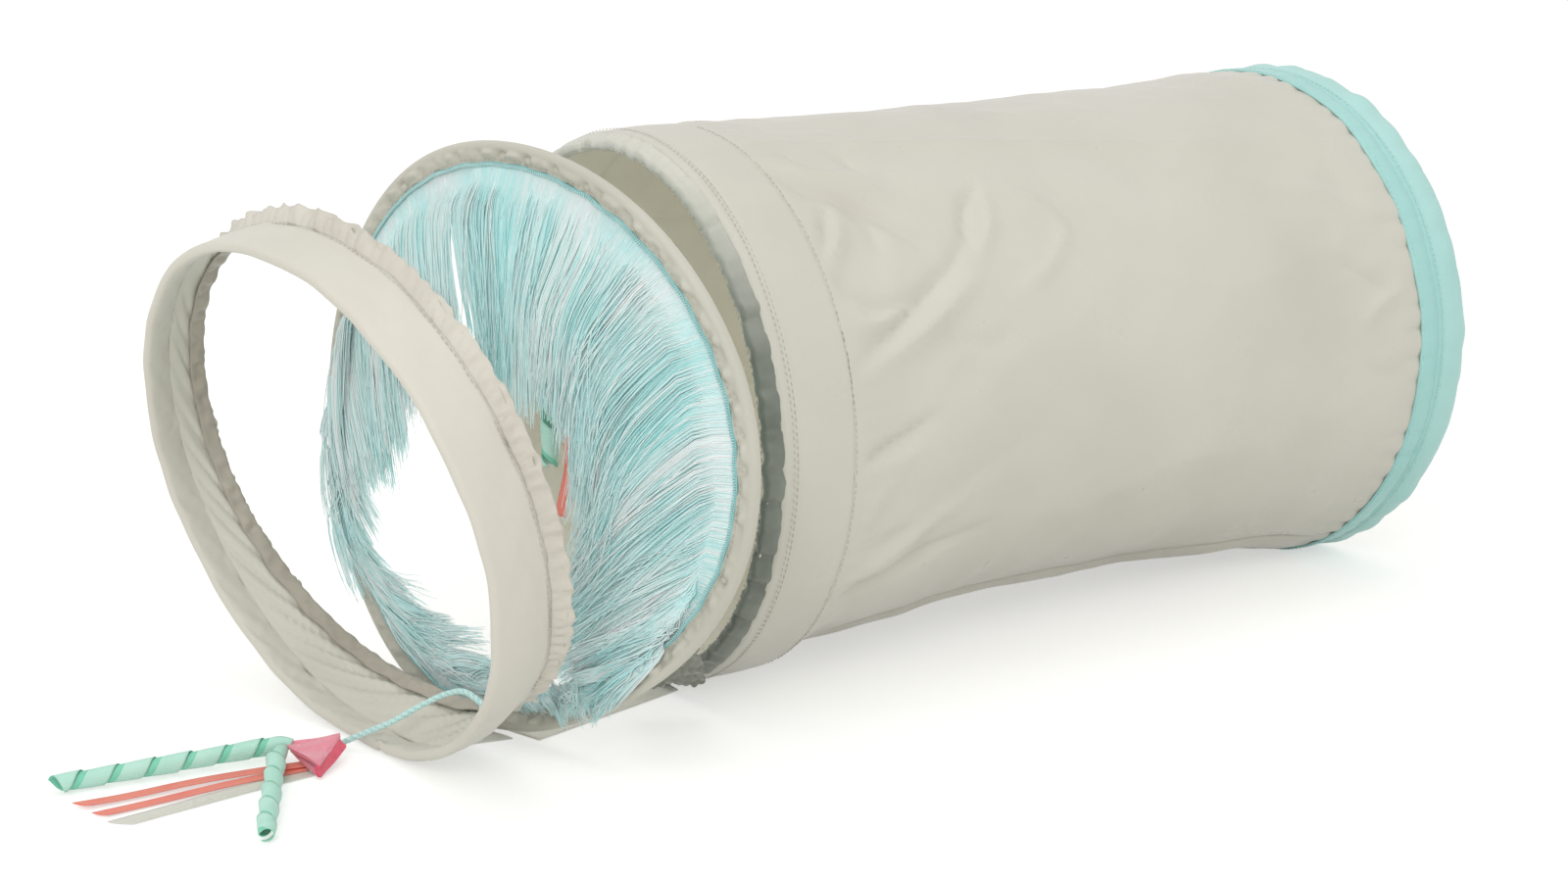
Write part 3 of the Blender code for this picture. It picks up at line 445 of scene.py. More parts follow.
def steel(name, colour, rough):
    """Drawn wire: fine streaks along it and a little dulling."""
    finish = Finish(name, rough, Metallic=1.0)
    streak = finish.noise(500.0, 3.0, stretch=(1.0, 0.3, 0.3))
    finish.colour(finish.tint(finish.span(streak, 0.0, 0.5), colour, (120, 120, 116)))
    finish.rough(finish.span(streak, rough - 0.08, rough + 0.12))
    finish.relief(streak, 0.00003)
    return finish.material


def thread(name, colour, dark):
    """Sewing thread: a twisted ply."""
    finish = Finish(name, 0.5, Sheen_Weight=0.2)
    ply = finish.noise(1800.0, 2.0)
    finish.colour(finish.tint(finish.span(ply, 0.0, 0.6), colour, dark))
    finish.rough(finish.span(ply, 0.45, 0.65))
    return finish.material


TUBE_SATIN = satin("tube_satin", (213, 211, 199), (200, 196, 185), 0.33)
# The tube's inside: a near-white copy of its satin, painted light for the light that comes through the thin
# cloth.
TUBE_INSIDE_PAINTED_LIGHT = satin("tube_inside_painted_light", (255, 252, 240), (254, 249, 234), 0.6, sheen=0.05)
BAND_SATIN = satin("band_satin", (219, 216, 204), (207, 203, 191))
BAND_INSIDE = satin("band_inside", (204, 204, 190), (188, 185, 170), 0.5)
# The ruffle: the band's own satin in its lighter tone, and a darker tone that is painted shade behind the
# band.
RUFFLE_SATIN_PAINTED_SHADE = satin("ruffle_satin_painted_shade", (217, 213, 201), (196, 191, 179))
# A darker copy of the lining satin for its free edge: painted shade behind the ruffle.
LINING_SATIN_PAINTED_SHADE = satin("lining_satin_painted_shade", (188, 181, 167), (150, 144, 130), 0.34)
# A near-white copy of the satin for the floor strips: painted light that keeps them as bright as the floor
# though they lie in shade.
STRIP_SATIN_PAINTED_LIGHT = satin("strip_satin_painted_light", (246, 244, 235), (236, 233, 223))
LINING_PALE = satin("lining_pale", (218, 216, 203), (200, 198, 185), 0.36)
BINDING_SATIN = satin("binding_satin", (208, 206, 193), (184, 183, 169), 0.32)
# The mouth casing: a pale top tone and darker side tones, mixed by height as painted light and shade.
CASING_SATIN_PAINTED_SHADING = casing_satin_painted_shading("casing_satin_painted_shading", (212, 211, 199), (132, 138, 127), (106, 112, 102))
# A dark copy of the satin for the crumpled tab: painted shade.
GATHERED_SATIN_PAINTED_SHADE = satin("gathered_satin_painted_shade", (150, 153, 141), (104, 107, 97), 0.24)
TEAL_SATIN = satin("teal_satin", (181, 224, 219), (160, 210, 205), 0.38)
# A darker copy of the far band's teal satin for the strip next to the tube: painted shade.
TEAL_SATIN_PAINTED_SHADE = satin("teal_satin_painted_shade", (174, 222, 217), (150, 206, 201), 0.36)
TEAL_TAPE = grosgrain("teal_tape", (164, 214, 214), (126, 190, 196), 0.0010)
SILK = silk("fringe_silk", (178, 246, 246), (222, 255, 254), (255, 255, 255))
MINT_RIBBON = grosgrain("mint_ribbon", (214, 250, 237), (170, 230, 210))
# A deeper green copy of the mint ribbon for the edge of each turn: painted shade where the turns overlap.
MINT_EDGE_PAINTED_SHADE = grosgrain("mint_ribbon_edge_painted_shade", (150, 230, 202), (118, 212, 180))
MINT_INSIDE = grosgrain("mint_ribbon_inside", (158, 244, 214), (126, 226, 192))
CORAL_RIBBON = grosgrain("coral_ribbon", (255, 158, 140), (246, 128, 112), 0.0006)
PALE_RIBBON = satin("pale_ribbon", (228, 226, 216), (208, 206, 196), 0.3)
PINK_FELT = felt("pink_felt", (242, 148, 166), (226, 116, 140))
# A deeper pink copy of the felt for the fold's side and cut edges: painted shade.
PINK_EDGE_PAINTED_SHADE = felt("pink_felt_edge_painted_shade", (236, 84, 112), (212, 54, 88))
CORD_BRAID = braid("cord_braid", (206, 238, 234), (116, 192, 196))
WIRE_STEEL = steel("wire_steel", (196, 196, 190), 0.3)
SLEEVE_STEEL = steel("sleeve_steel", (176, 176, 170), 0.42)
GREY_THREAD = thread("grey_thread", (206, 204, 192), (150, 148, 136))
TEAL_THREAD = thread("teal_thread", (204, 233, 230), (160, 210, 208))


# Pieces from grids of points

def piece_from(name, mesh, looks):
    for look in looks:
        mesh.materials.append(look)
    item = bpy.data.objects.new(name, mesh)
    bpy.context.scene.collection.objects.link(item)
    return item


def grid(first, second):
    """Two grids of values: the first changes from row to row, the second along each row."""
    return np.meshgrid(first, second, indexing="ij")


def grid_piece(name, points, looks, ring=True, loop=False, thick=0.0, cap=False):
    """A quad sheet through a grid of points, closed along its rows and columns as told, mapped in metres."""
    rows, cols = points.shape[:2]
    across = np.linalg.norm(np.diff(points, axis=1, append=points[:, :1]), axis=2).mean(0)
    along = np.linalg.norm(np.diff(points, axis=0, append=points[:1]), axis=2).mean(1)
    v = np.concatenate([[0.0], np.cumsum(across)])
    u = np.concatenate([[0.0], np.cumsum(along)])
    i, j = grid(np.arange(rows if ring else rows - 1), np.arange(cols if loop else cols - 1))
    i, j = i.ravel(), j.ravel()
    corners = [(i, j), (i + 1, j), (i + 1, j + 1), (i, j + 1)]
    faces = np.stack([p % rows * cols + q % cols for p, q in corners], 1).tolist()
    uv = np.stack([np.stack([u[p], v[q]], 1) for p, q in corners], 1).reshape(-1, 2)
    if cap and not ring:
        faces += [list(range(cols))[::-1], [(rows - 1) * cols + k for k in range(cols)]]
        uv = np.vstack([uv, np.zeros((2 * cols, 2))])
    mesh = bpy.data.meshes.new(name)
    mesh.from_pydata(points.reshape(-1, 3).tolist(), [], faces)
    layer = mesh.uv_layers.new(name="metres")
    layer.data.foreach_set("uv", uv.astype(np.float32).ravel())
    mesh.shade_smooth()
    item = piece_from(name, mesh, looks)
    if thick:
        wall = item.modifiers.new("wall", "SOLIDIFY")
        wall.thickness, wall.offset = thick, -1.0
        wall.material_offset = wall.material_offset_rim = len(looks) - 1
    return item


def finish_piece(item, body, slot, *nodes):
    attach(item, body)
    if nodes:
        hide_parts(*nodes)
    return item


def cut_sheet(points, ring=True):
    """Works out the area of a cloth's grid, closed round if told, and does nothing more with it."""
    loop = np.concatenate([points, points[:1]]) if ring else points
    long, wide = np.diff(loop, axis=0), np.diff(loop, axis=1)
    area = np.linalg.norm(np.cross(long[:, :-1], wide[:-1]), axis=2).sum() / 2
    area += np.linalg.norm(np.cross(long[:, 1:], wide[1:]), axis=2).sum() / 2


def cloth_piece(name, points, looks, body, slot, node, held, rests_on, **form):
    """A cloth from a grid of points, on its body, with the solid it stands for hidden."""
    item = grid_piece(name, points, looks, **form)
    finish_piece(item, body, slot, node)
    cut_sheet(points, ring=form.get("ring", True))
    return item


def smooth_line(route, count):
    """Evenly spaced points of a smooth curve through a route's own points."""
    route = np.asarray(route, float)
    ends = np.vstack([2 * route[0] - route[1], route, 2 * route[-1] - route[-2]])
    fine = []
    for a, b, c, d in zip(ends[:-3], ends[1:-2], ends[2:-1], ends[3:], strict=True):
        for t in np.arange(24) / 24:
            bend = (2 * a - 5 * b + 4 * c - d) * t**2 + (3 * b - a - 3 * c + d) * t**3
            fine.append(b + ((c - a) * t + bend) / 2)
    fine = np.array([*fine, route[-1]])
    run = np.concatenate([[0.0], np.cumsum(np.linalg.norm(np.diff(fine, axis=0), axis=1))])
    even = np.linspace(0.0, run[-1], count)
    return np.stack([np.interp(even, run, fine[:, k]) for k in range(3)], 1)


# Node trees for what repeats

class Tree:
    """A Geometry Nodes tree under construction, with named inputs."""

    KINDS = {"float": "NodeSocketFloat", "int": "NodeSocketInt", "material": "NodeSocketMaterial"}

    def __init__(self, name, **inputs):
        self.group = bpy.data.node_groups.new(name, "GeometryNodeTree")
        face = self.group.interface
        face.new_socket(name="Geometry", in_out="INPUT", socket_type="NodeSocketGeometry")
        face.new_socket(name="Geometry", in_out="OUTPUT", socket_type="NodeSocketGeometry")
        for label, kind in inputs.items():
            face.new_socket(name=label.replace("_", " "), in_out="INPUT", socket_type=self.KINDS[kind])
        self.source = self.group.nodes.new("NodeGroupInput")
        self.target = self.group.nodes.new("NodeGroupOutput")

    def add(self, kind, inputs=(), **settings):
        return add_node(self.group, kind, inputs, **settings)

    def out(self, kind, inputs=(), **settings):
        """The first output of a new node."""
        return self.add(kind, inputs, **settings).outputs[0]

    def math(self, operation, a, b=0.0):
        return self.out("ShaderNodeMath", {0: a, 1: b}, operation=operation)

    def product(self, first, *others):
        for other in others:
            first = self.math("MULTIPLY", first, other)
        return first

    def vector(self, operation, a, b):
        """Two vectors, or with SCALE a vector and a number, put together."""
        second = 3 if operation == "SCALE" else 1
        return self.out("ShaderNodeVectorMath", {0: a, second: b}, operation=operation)

    def both(self, a, share_a, b, share_b):
        """Two vectors, each times its own number, added."""
        return self.vector("ADD", self.vector("SCALE", a, share_a), self.vector("SCALE", b, share_b))

    def parts(self, vector):
        return self.add("ShaderNodeSeparateXYZ", {0: vector}).outputs

    def span(self, value, low, high):
        return self.out("ShaderNodeMapRange", {"Value": value, "To Min": low, "To Max": high})

    def field(self, name):
        """A vector attribute of the points, by its name."""
        return self.out("GeometryNodeInputNamedAttribute", {"Name": name}, data_type="FLOAT_VECTOR")

    def store(self, geometry, name, value, domain):
        inputs = {"Geometry": geometry, "Name": name, "Value": value}
        return self.out("GeometryNodeStoreNamedAttribute", inputs, data_type="FLOAT", domain=domain)

    def each(self, kind, low, high, step):
        """One random value for each strand."""
        draw = self.add("FunctionNodeRandomValue", data_type=kind)
        sockets = {s.name: s for s in draw.inputs if s.enabled}
        sockets["Min"].default_value, sockets["Max"].default_value = low, high
        self.group.links.new(self.out("GeometryNodeInputIndex"), sockets["ID"])
        self.group.links.new(self.math("ADD", self.source.outputs["Seed"], step), sockets["Seed"])
        value = next(s for s in draw.outputs if s.enabled)
        return self.out("GeometryNodeFieldOnDomain", {0: value}, data_type=kind, domain="CURVE")

    def end(self, geometry, material):
        """Closes the tree: real geometry, with its material."""
        real = self.out("GeometryNodeRealizeInstances", {"Geometry": geometry})
        done = self.out("GeometryNodeSetMaterial", {"Geometry": real, "Material": material})
        self.group.links.new(done, self.target.inputs[0])


def strand_tree():
    """Each guide becomes a bundle of strands that spread from its root, wander a little and thin out."""
    tree = Tree(
        "fringe_strands", Strands="int", Spread="float", Tip_Share="float", Depth="float",
        Wander="float", Strand_Radius="float", Shortest="float", Seed="int", Material="material",
    )
    source = tree.source.outputs
    strands = tree.out("GeometryNodeMeshToCurve", {"Mesh": source["Geometry"]})
    copies = {"Geometry": strands, "Amount": source["Strands"]}
    strands = tree.out("GeometryNodeDuplicateElements", copies, domain="SPLINE")

    share = tree.add("GeometryNodeSplineParameter").outputs["Factor"]
    across, lift = tree.field("across"), tree.field("lift")
    pick = tree.parts(tree.each("FLOAT_VECTOR", (-1, -1, -1), (1, 1, 1), 1))
    side = tree.product(pick[0], source["Spread"], tree.span(share, 1.0, source["Tip Share"]))
    rise = tree.product(pick[1], source["Depth"], tree.math("POWER", share, 0.6))
    slide = tree.out("ShaderNodeCombineXYZ", {2: tree.product(share, 1.7)})
    where = tree.vector("ADD", tree.each("FLOAT_VECTOR", (0, 0, 0), (60, 60, 60), 2), slide)
    noise = tree.add("ShaderNodeTexNoise", {"Vector": where, "Scale": 1.0, "Detail": 1.0}).outputs["Color"]
    sway = tree.parts(tree.vector("SUBTRACT", noise, (0.5, 0.5, 0.5)))
    wander = tree.product(share, source["Wander"])
    drift = tree.both(across, tree.product(sway[0], wander), lift, tree.product(sway[1], 0.3, wander))
    offset = tree.vector("ADD", tree.both(across, side, lift, rise), drift)
    strands = tree.out("GeometryNodeSetPosition", {"Geometry": strands, "Offset": offset})
    cut = tree.span(tree.each("FLOAT", 0.0, 1.0, 3), source["Shortest"], 1.0)
    strands = tree.out("GeometryNodeTrimCurve", {"Curve": strands, "End": cut}, mode="FACTOR")

    own = tree.math("POWER", tree.each("FLOAT", 0.0, 1.0, 4), 2.5)
    shade = tree.math("ADD", tree.product(tree.parts(tree.field("tone"))[0], 0.5), tree.product(own, 0.6))
    strands = tree.store(strands, "shade", shade, "CURVE")
    taper = tree.math("SUBTRACT", 1.0, tree.product(tree.math("POWER", share, 3.0), 0.6))
    strands = tree.out("GeometryNodeSetCurveRadius", {"Curve": strands, "Radius": taper})
    strands = tree.store(strands, "run", share, "POINT")
    round_section = {"Resolution": 3, "Radius": source["Strand Radius"]}
    section = tree.out("GeometryNodeCurvePrimitiveCircle", round_section, mode="RADIUS")
    solid = {"Curve": strands, "Profile Curve": section, "Fill Caps": True}
    tubes = tree.add("GeometryNodeCurveToMesh", solid)
    if "Scale" in tubes.inputs:
        tree.group.links.new(taper, tubes.inputs["Scale"])
    tree.end(tubes.outputs[0], source["Material"])
    return tree.group


def stitch_tree():
    """Even stitches along a line: each lies along it, or across it, on the surface that carries it."""
    sizes = {"Pitch": "float", "Length": "float", "Thickness": "float", "Across": "float"}
    tree = Tree("stitches", **sizes, Material="material")
    source = tree.source.outputs
    line = tree.out("GeometryNodeMeshToCurve", {"Mesh": source["Geometry"]})
    even = {"Curve": line, "Length": source["Pitch"]}
    even = tree.out("GeometryNodeResampleCurve", even, mode="LENGTH")
    tangent = tree.out("GeometryNodeInputTangent")
    face = tree.field("face")
    change = tree.vector("SUBTRACT", tree.vector("CROSS_PRODUCT", tangent, face), tangent)
    way = tree.vector("ADD", tangent, tree.vector("SCALE", change, source["Across"]))
    laid = tree.out("FunctionNodeAlignRotationToVector", {"Vector": way}, axis="X")
    faced = {"Rotation": laid, "Vector": face}
    faced = tree.out("FunctionNodeAlignRotationToVector", faced, axis="Z", pivot_axis="X")
    bead = tree.out("GeometryNodeMeshUVSphere", {"Segments": 6, "Rings": 4, "Radius": 0.5})
    sizes = {0: source["Length"], 1: source["Thickness"], 2: source["Thickness"]}
    size = tree.out("ShaderNodeCombineXYZ", sizes)
    placed = {"Points": even, "Instance": bead, "Rotation": faced, "Scale": size}
    placed = tree.out("GeometryNodeInstanceOnPoints", placed)
    tree.end(placed, source["Material"])
    return tree.group


STRANDS = strand_tree()
STITCHES = stitch_tree()
STITCH_RING = np.linspace(0, 2 * math.pi, 721)[:-1]


def line_object(name, lines, attributes):
    """Loose edges along each line, with a vector attribute or more at each point."""
    points = np.concatenate(lines)
    edges, start = [], 0
    for line in lines:
        edges += [(start + k, start + k + 1) for k in range(len(line) - 1)]
        start += len(line)
    mesh = bpy.data.meshes.new(name)
    mesh.from_pydata(points.tolist(), edges, [])
    for label, values in attributes.items():
        layer = mesh.attributes.new(label, "FLOAT_VECTOR", "POINT")
        layer.data.foreach_set("vector", np.concatenate(values).astype(np.float32).ravel())
    return piece_from(name, mesh, [])


def grown(name, guide, group, values):
    """The plain mesh that a node tree makes from a guide object, as a piece of its own."""
    modifier = guide.modifiers.new(group.name, "NODES")
    modifier.node_group = group
    for socket in group.interface.items_tree:
        if socket.in_out == "INPUT" and socket.name in values:
            modifier[socket.identifier] = values[socket.name]
    graph = bpy.context.evaluated_depsgraph_get()
    graph.update()
    mesh = bpy.data.meshes.new_from_object(
        guide.evaluated_get(graph), preserve_all_data_layers=True, depsgraph=graph
    )
    mesh.name = name
    mesh.shade_smooth()
    guide.modifiers.remove(modifier)
    bpy.data.objects.remove(guide)
    return piece_from(name, mesh, [])


def closed(line):
    return np.vstack([line, line[:1]])


def stitch_line(name, seams, body, slot, look, **sizes):
    """Rows of stitches along seams; sizes change a stitch's own."""
    lines, faces = zip(*seams, strict=True)
    guide = line_object(name + "_line", lines, {"face": faces})
    values = {"Pitch": 0.0030, "Length": 0.0021, "Thickness": 0.00042, "Across": 0.0, "Material": look}
    values.update({label.capitalize(): size for label, size in sizes.items()})
    finish_piece(grown(name, guide, STITCHES, values), body, slot)


def seam(ring, out, back, a, facing=None):
    """A closed line round a ring at a distance out and back, and the way it faces: outwards, if not told."""
    line = closed(ring.at(out, back, a))
    if facing is not None:
        return line, np.broadcast_to(facing, line.shape)
    s, t = ring.normal(a)
    return line, closed(s[:, None] * ring.side + t[:, None] * ring.up)


# Tube

TUBE_STEPS = 330
TUBE_ROWS = 130
SEAM_TAPE_ANGLE = math.radians(68.0)
FOLD_POINTS = 14
FOLD_GAIN = 2.6
RIDGE_SOFTNESS = 0.18

# Each fold's line (distance from the mouth, angle in degrees), its width and its height
TUBE_FOLDS = [
    ([(0.040, 163), (0.062, 157), (0.087, 150), (0.106, 144), (0.119, 138)], 0.0060, -0.0017),
    ([(0.119, 141), (0.119, 137), (0.126, 131), (0.137, 127)], 0.0040, -0.0012),
    ([(0.121, 144), (0.131, 139), (0.137, 134), (0.141, 128)], 0.0035, 0.0008),
    ([(0.141, 126), (0.160, 131), (0.171, 140), (0.160, 147), (0.135, 153)], 0.0050, 0.0009),
    ([(0.050, 164), (0.070, 160), (0.092, 155), (0.115, 148)], 0.0070, 0.0015),
    ([(0.038, 118), (0.050, 123), (0.066, 127), (0.083, 134), (0.097, 142)], 0.0060, -0.0016),
    ([(0.038, 112), (0.056, 117), (0.077, 122), (0.097, 129)], 0.0080, 0.0013),
    ([(0.066, 127), (0.071, 134), (0.072, 141)], 0.0060, -0.0011),
    ([(0.040, 143), (0.052, 136), (0.060, 129)], 0.0055, 0.0014),
    ([(0.039, 140), (0.047, 134), (0.053, 128)], 0.0040, -0.0012),
    ([(0.040, 145), (0.051, 149), (0.062, 152), (0.078, 150)], 0.0050, -0.0010),
    ([(0.040, 154), (0.058, 155), (0.078, 152)], 0.0045, 0.0010),
    ([(0.088, 158), (0.110, 162), (0.128, 161)], 0.0080, -0.0009),
    ([(0.040, 103), (0.120, 110), (0.230, 118), (0.300, 122)], 0.0050, 0.0007),
    ([(0.055, 110), (0.058, 117)], 0.0050, -0.0009),
    ([(0.080, 112), (0.083, 119)], 0.0045, -0.0009),
    ([(0.042, 182), (0.058, 179), (0.072, 176), (0.083, 174)], 0.0035, -0.0013),
    ([(0.042, 185), (0.060, 183), (0.078, 180)], 0.0060, 0.0009),
    ([(0.040, 211), (0.060, 207), (0.084, 200), (0.110, 192)], 0.0080, 0.0017),
    ([(0.042, 216), (0.070, 212), (0.096, 207), (0.120, 203)], 0.0060, -0.0014),
    ([(0.060, 203), (0.085, 198), (0.115, 188), (0.140, 182)], 0.0120, -0.0010),
    ([(0.327, 156), (0.342, 160), (0.362, 166)], 0.0050, -0.0010),
    ([(0.335, 171), (0.348, 167), (0.366, 164)], 0.0055, 0.0010),
    ([(0.340, 181), (0.352, 183), (0.366, 182)], 0.0050, -0.0007),
    ([(0.300, 136), (0.330, 140), (0.366, 148)], 0.0090, 0.0008),
    ([(0.170, 205), (0.230, 196), (0.290, 196)], 0.0200, 0.0008),
    ([(0.200, 150), (0.260, 158), (0.330, 152)], 0.0240, 0.0007),
    ([(0.040, 60), (0.070, 54), (0.105, 50)], 0.0070, 0.0014),
    ([(0.040, 40), (0.080, 33), (0.120, 31)], 0.0080, -0.0014),
    ([(0.040, 8), (0.075, 2), (0.120, 4)], 0.0075, 0.0016),
    ([(0.042, 345), (0.080, 335), (0.130, 330)], 0.0080, -0.0015),
    ([(0.200, 20), (0.260, 12), (0.330, 18)], 0.0140, 0.0010),
    ([(0.320, 40), (0.345, 48), (0.368, 52)], 0.0060, -0.0010),
    ([(0.310, 330), (0.340, 338), (0.368, 340)], 0.0070, 0.0011),
    ([(0.045, 290), (0.110, 300), (0.180, 296)], 0.0090, 0.0015),
]

# The long crease low on the near side, and how the cloth is drawn in between the hoops
CREASE_ANGLE = 236.5
CREASE_DEPTH = 0.0080
CREASE_WIDTH = 0.0009
UNDER_FOLD = 0.0026
TAUT_SHARES = [0.0, 0.05, 0.3, 0.65, 0.9, 1.0]
WAIST_SHARES = [0.0, 0.62, 1.0, 0.85, 0.4, 0.0]


def waist(back, a):
    """How far the cloth is drawn in between the hem and the far band, most at the foot."""
    start = HEM_PLACE + 0.0003
    share = np.clip((back - start) / (FAR_BAND_START - start), 0, 1)
    shape = 0.5 * np.interp(share, TAUT_SHARES, WAIST_SHARES) + 0.5 * arch(share * 1.06) ** 0.8 * 0.98
    return (TUBE_WAIST_TOP + (TUBE_WAIST_FOOT - TUBE_WAIST_TOP) * lowness(a) ** 2) * shape


def fold_height(back, a, folds):
    """The sum of all folds at each place: a soft ridge or valley along each fold's line."""
    total = np.zeros(np.broadcast(back, a).shape)
    here = np.stack(np.broadcast_arrays(back, a * TUBE_RADIUS), -1)
    for line, width, height in folds:
        points = smooth_line([(x, math.radians(d) * TUBE_RADIUS, 0.0) for x, d in line], FOLD_POINTS)[:, :2]
        nearest, place = np.full(total.shape, np.inf), np.zeros(total.shape)
        for k, (p, q) in enumerate(zip(points[:-1], points[1:], strict=True)):
            gap = here - p
            gap[..., 1] = turned(gap[..., 1] / TUBE_RADIUS) * TUBE_RADIUS
            t = np.clip(gap @ (q - p) / ((q - p) @ (q - p)), 0, 1)
            distance = np.linalg.norm(gap - t[..., None] * (q - p), axis=-1)
            closer = distance < nearest
            nearest = np.where(closer, distance, nearest)
            place = np.where(closer, (k + t) / (FOLD_POINTS - 1), place)
        fade = 0.15 + 0.85 * arch(np.clip(place, 0.02, 0.98)) ** 0.6
        section = 0.5 * bump(nearest, 0.8 * width) + 0.5 * np.exp(-nearest / (0.42 * width))
        total += FOLD_GAIN * height * fade * section
    return total


def undulation(back, a, seed, size, count=26):
    """Slow dents of a size in metres, irregular in both directions and closed round the tube."""
    draw = np.random.default_rng(seed)
    total = 0.0
    for _ in range(count):
        waves = round(draw.normal(0, TUBE_RADIUS * 2 * math.pi / size / 2))
        rate = draw.normal(0, math.pi / size)
        total = total + np.sin(waves * a + rate * back + draw.uniform(0, 2 * math.pi))
    return total / math.sqrt(count)


def tube_surface(back, a):
    """How far out the tube's cloth lies."""
    out = -0.0004 - waist(back, a)
    inner = smooth(back, HEM_PLACE, HEM_PLACE + 0.012) * (1 - smooth(back, 0.360, 0.373))
    out = out + fold_height(back, a, TUBE_FOLDS) * (0.25 + 0.75 * inner)
    out = out + 0.0008 * undulation(back, a, 3, 0.110) * inner
    out = out + 0.00034 * undulation(back, a, 4, 0.040) * inner
    wrinkled = 0.30 + 0.70 * bump(back - 0.070, 0.050) + 0.5 * bump(back - 0.350, 0.030)
    ridge = 1 - np.hypot(undulation(back, a, 8, 0.040), RIDGE_SOFTNESS)
    ridge = ridge - 0.8 * np.hypot(undulation(back, a, 9, 0.064), RIDGE_SOFTNESS)
    out = out + 0.00120 * ridge * wrinkled * inner
    puckers = 0.00150 * hem_gathers(a) * bump(back - HEM_PLACE - 0.005, 0.0070)
    out = out + puckers * (0.6 + 0.4 * swell(a, 13, 14)) * inner
    out = out + 0.00110 * far_gathers(a) * bump(back - 0.373, 0.0120)
    out = out - 0.0003 * (1 - smooth(back, HEM_PLACE - 0.0006, HEM_PLACE + 0.0008))
    along = smooth(back, 0.045, 0.085) * (1 - smooth(back, 0.330, 0.368))
    sway = np.radians(CREASE_ANGLE + 1.6 * np.sin(back * 31.0 + 0.6) + 0.5 * np.sin(back * 90.0))
    away = turned(a - sway) * TUBE_RADIUS
    groove = bump(away, CREASE_WIDTH) * CREASE_DEPTH
    under = bump(away - 0.0100, 0.0070) * UNDER_FOLD
    return out + (under - groove) * along * (a > math.pi)


def tube_angles():
    """Even steps round the tube, with finer ones where the long crease runs."""
    crease = np.radians(CREASE_ANGLE + np.linspace(-6.0, 6.0, 49))
    a = around(TUBE_STEPS)
    return np.sort(np.concatenate([a[np.abs(a - crease.mean()) > math.radians(6.2)], crease]))


def fold_up(item):
    """Gives a piece its own copy of its mesh."""
    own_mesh(item)


def tube_piece():
    """The tube's cloth, from just before the hem to inside the far band."""
    back = np.linspace(HEM_PLACE - 0.0006, FAR_BAND_START + 0.006, TUBE_ROWS)
    back = np.insert(back, 1, HEM_PLACE + np.array([0.0002, 0.0009]))
    angle, run = grid(tube_angles(), back)
    points = tube.at(tube_surface(run, angle), run, angle)
    cloth = grid_piece("tube_satin_cloth", points, [TUBE_SATIN, TUBE_INSIDE_PAINTED_LIGHT], thick=TUBE_CLOTH)
    finish_piece(cloth, "tube", "tube_cloth", "tube_cloth")
    fold_up(cloth)


def mouth_band_piece():
    """The hem, turned inside at the mouth and drawn in along its two rows of stitches."""
    back = np.concatenate([[-0.0004, 0.0000], np.linspace(0.0006, HEM_PLACE + 0.0004, 25)])
    angle, run = grid(tube_angles(), back)
    out = -0.0010 * smooth(-run, -0.0010, 0.0004) + 0.0004 * bump(run - 0.021, 0.012)
    out = out + 0.00025 * undulation(run, angle, 6, 0.060)
    out = out + 0.0007 * swell(angle, 5, 21) * bump(run - 0.020, 0.016)
    out = out - 0.0012 * smooth(run, HEM_PLACE - 0.0020, HEM_PLACE - 0.0002)
    out = out - 0.0004 * bump(run - 0.0068, 0.0010)
    out = out + 0.00030 * hem_gathers(angle) * bump(run - HEM_PLACE, 0.0040)
    cloth_piece(
        "mouth_band_cloth", tube.at(out, run, angle), [TUBE_SATIN, TUBE_INSIDE_PAINTED_LIGHT], "tube", "tube_cloth",
        "mouth_facing", "stretched", ["mouth_casing", "tube_cloth"], thick=2 * TUBE_CLOTH,
    )


def seam_tape_piece():
    """The tape inside the tube, over the seam that joins the panel."""
    width = 0.0045 / TUBE_RADIUS
    back = np.linspace(HEM_PLACE + 0.001, FAR_BAND_START, 70)
    run, angle = grid(back, SEAM_TAPE_ANGLE + np.linspace(-width, width, 7))
    drop = tube_surface(run, angle) - 0.0011 - 0.0004 * np.cos(turned(angle - SEAM_TAPE_ANGLE) / width * 1.4)
    tape = grid_piece("seam_tape_cloth", tube.at(drop, run, angle), [BAND_INSIDE], ring=False, thick=CLOTH)
    finish_piece(tape, "tube", "band_cloth", "seam_tape")
    fold_up(tape)


CASING_PINCHES = (172, 187, 199, 206, 216, 128, 150, 20, 262)


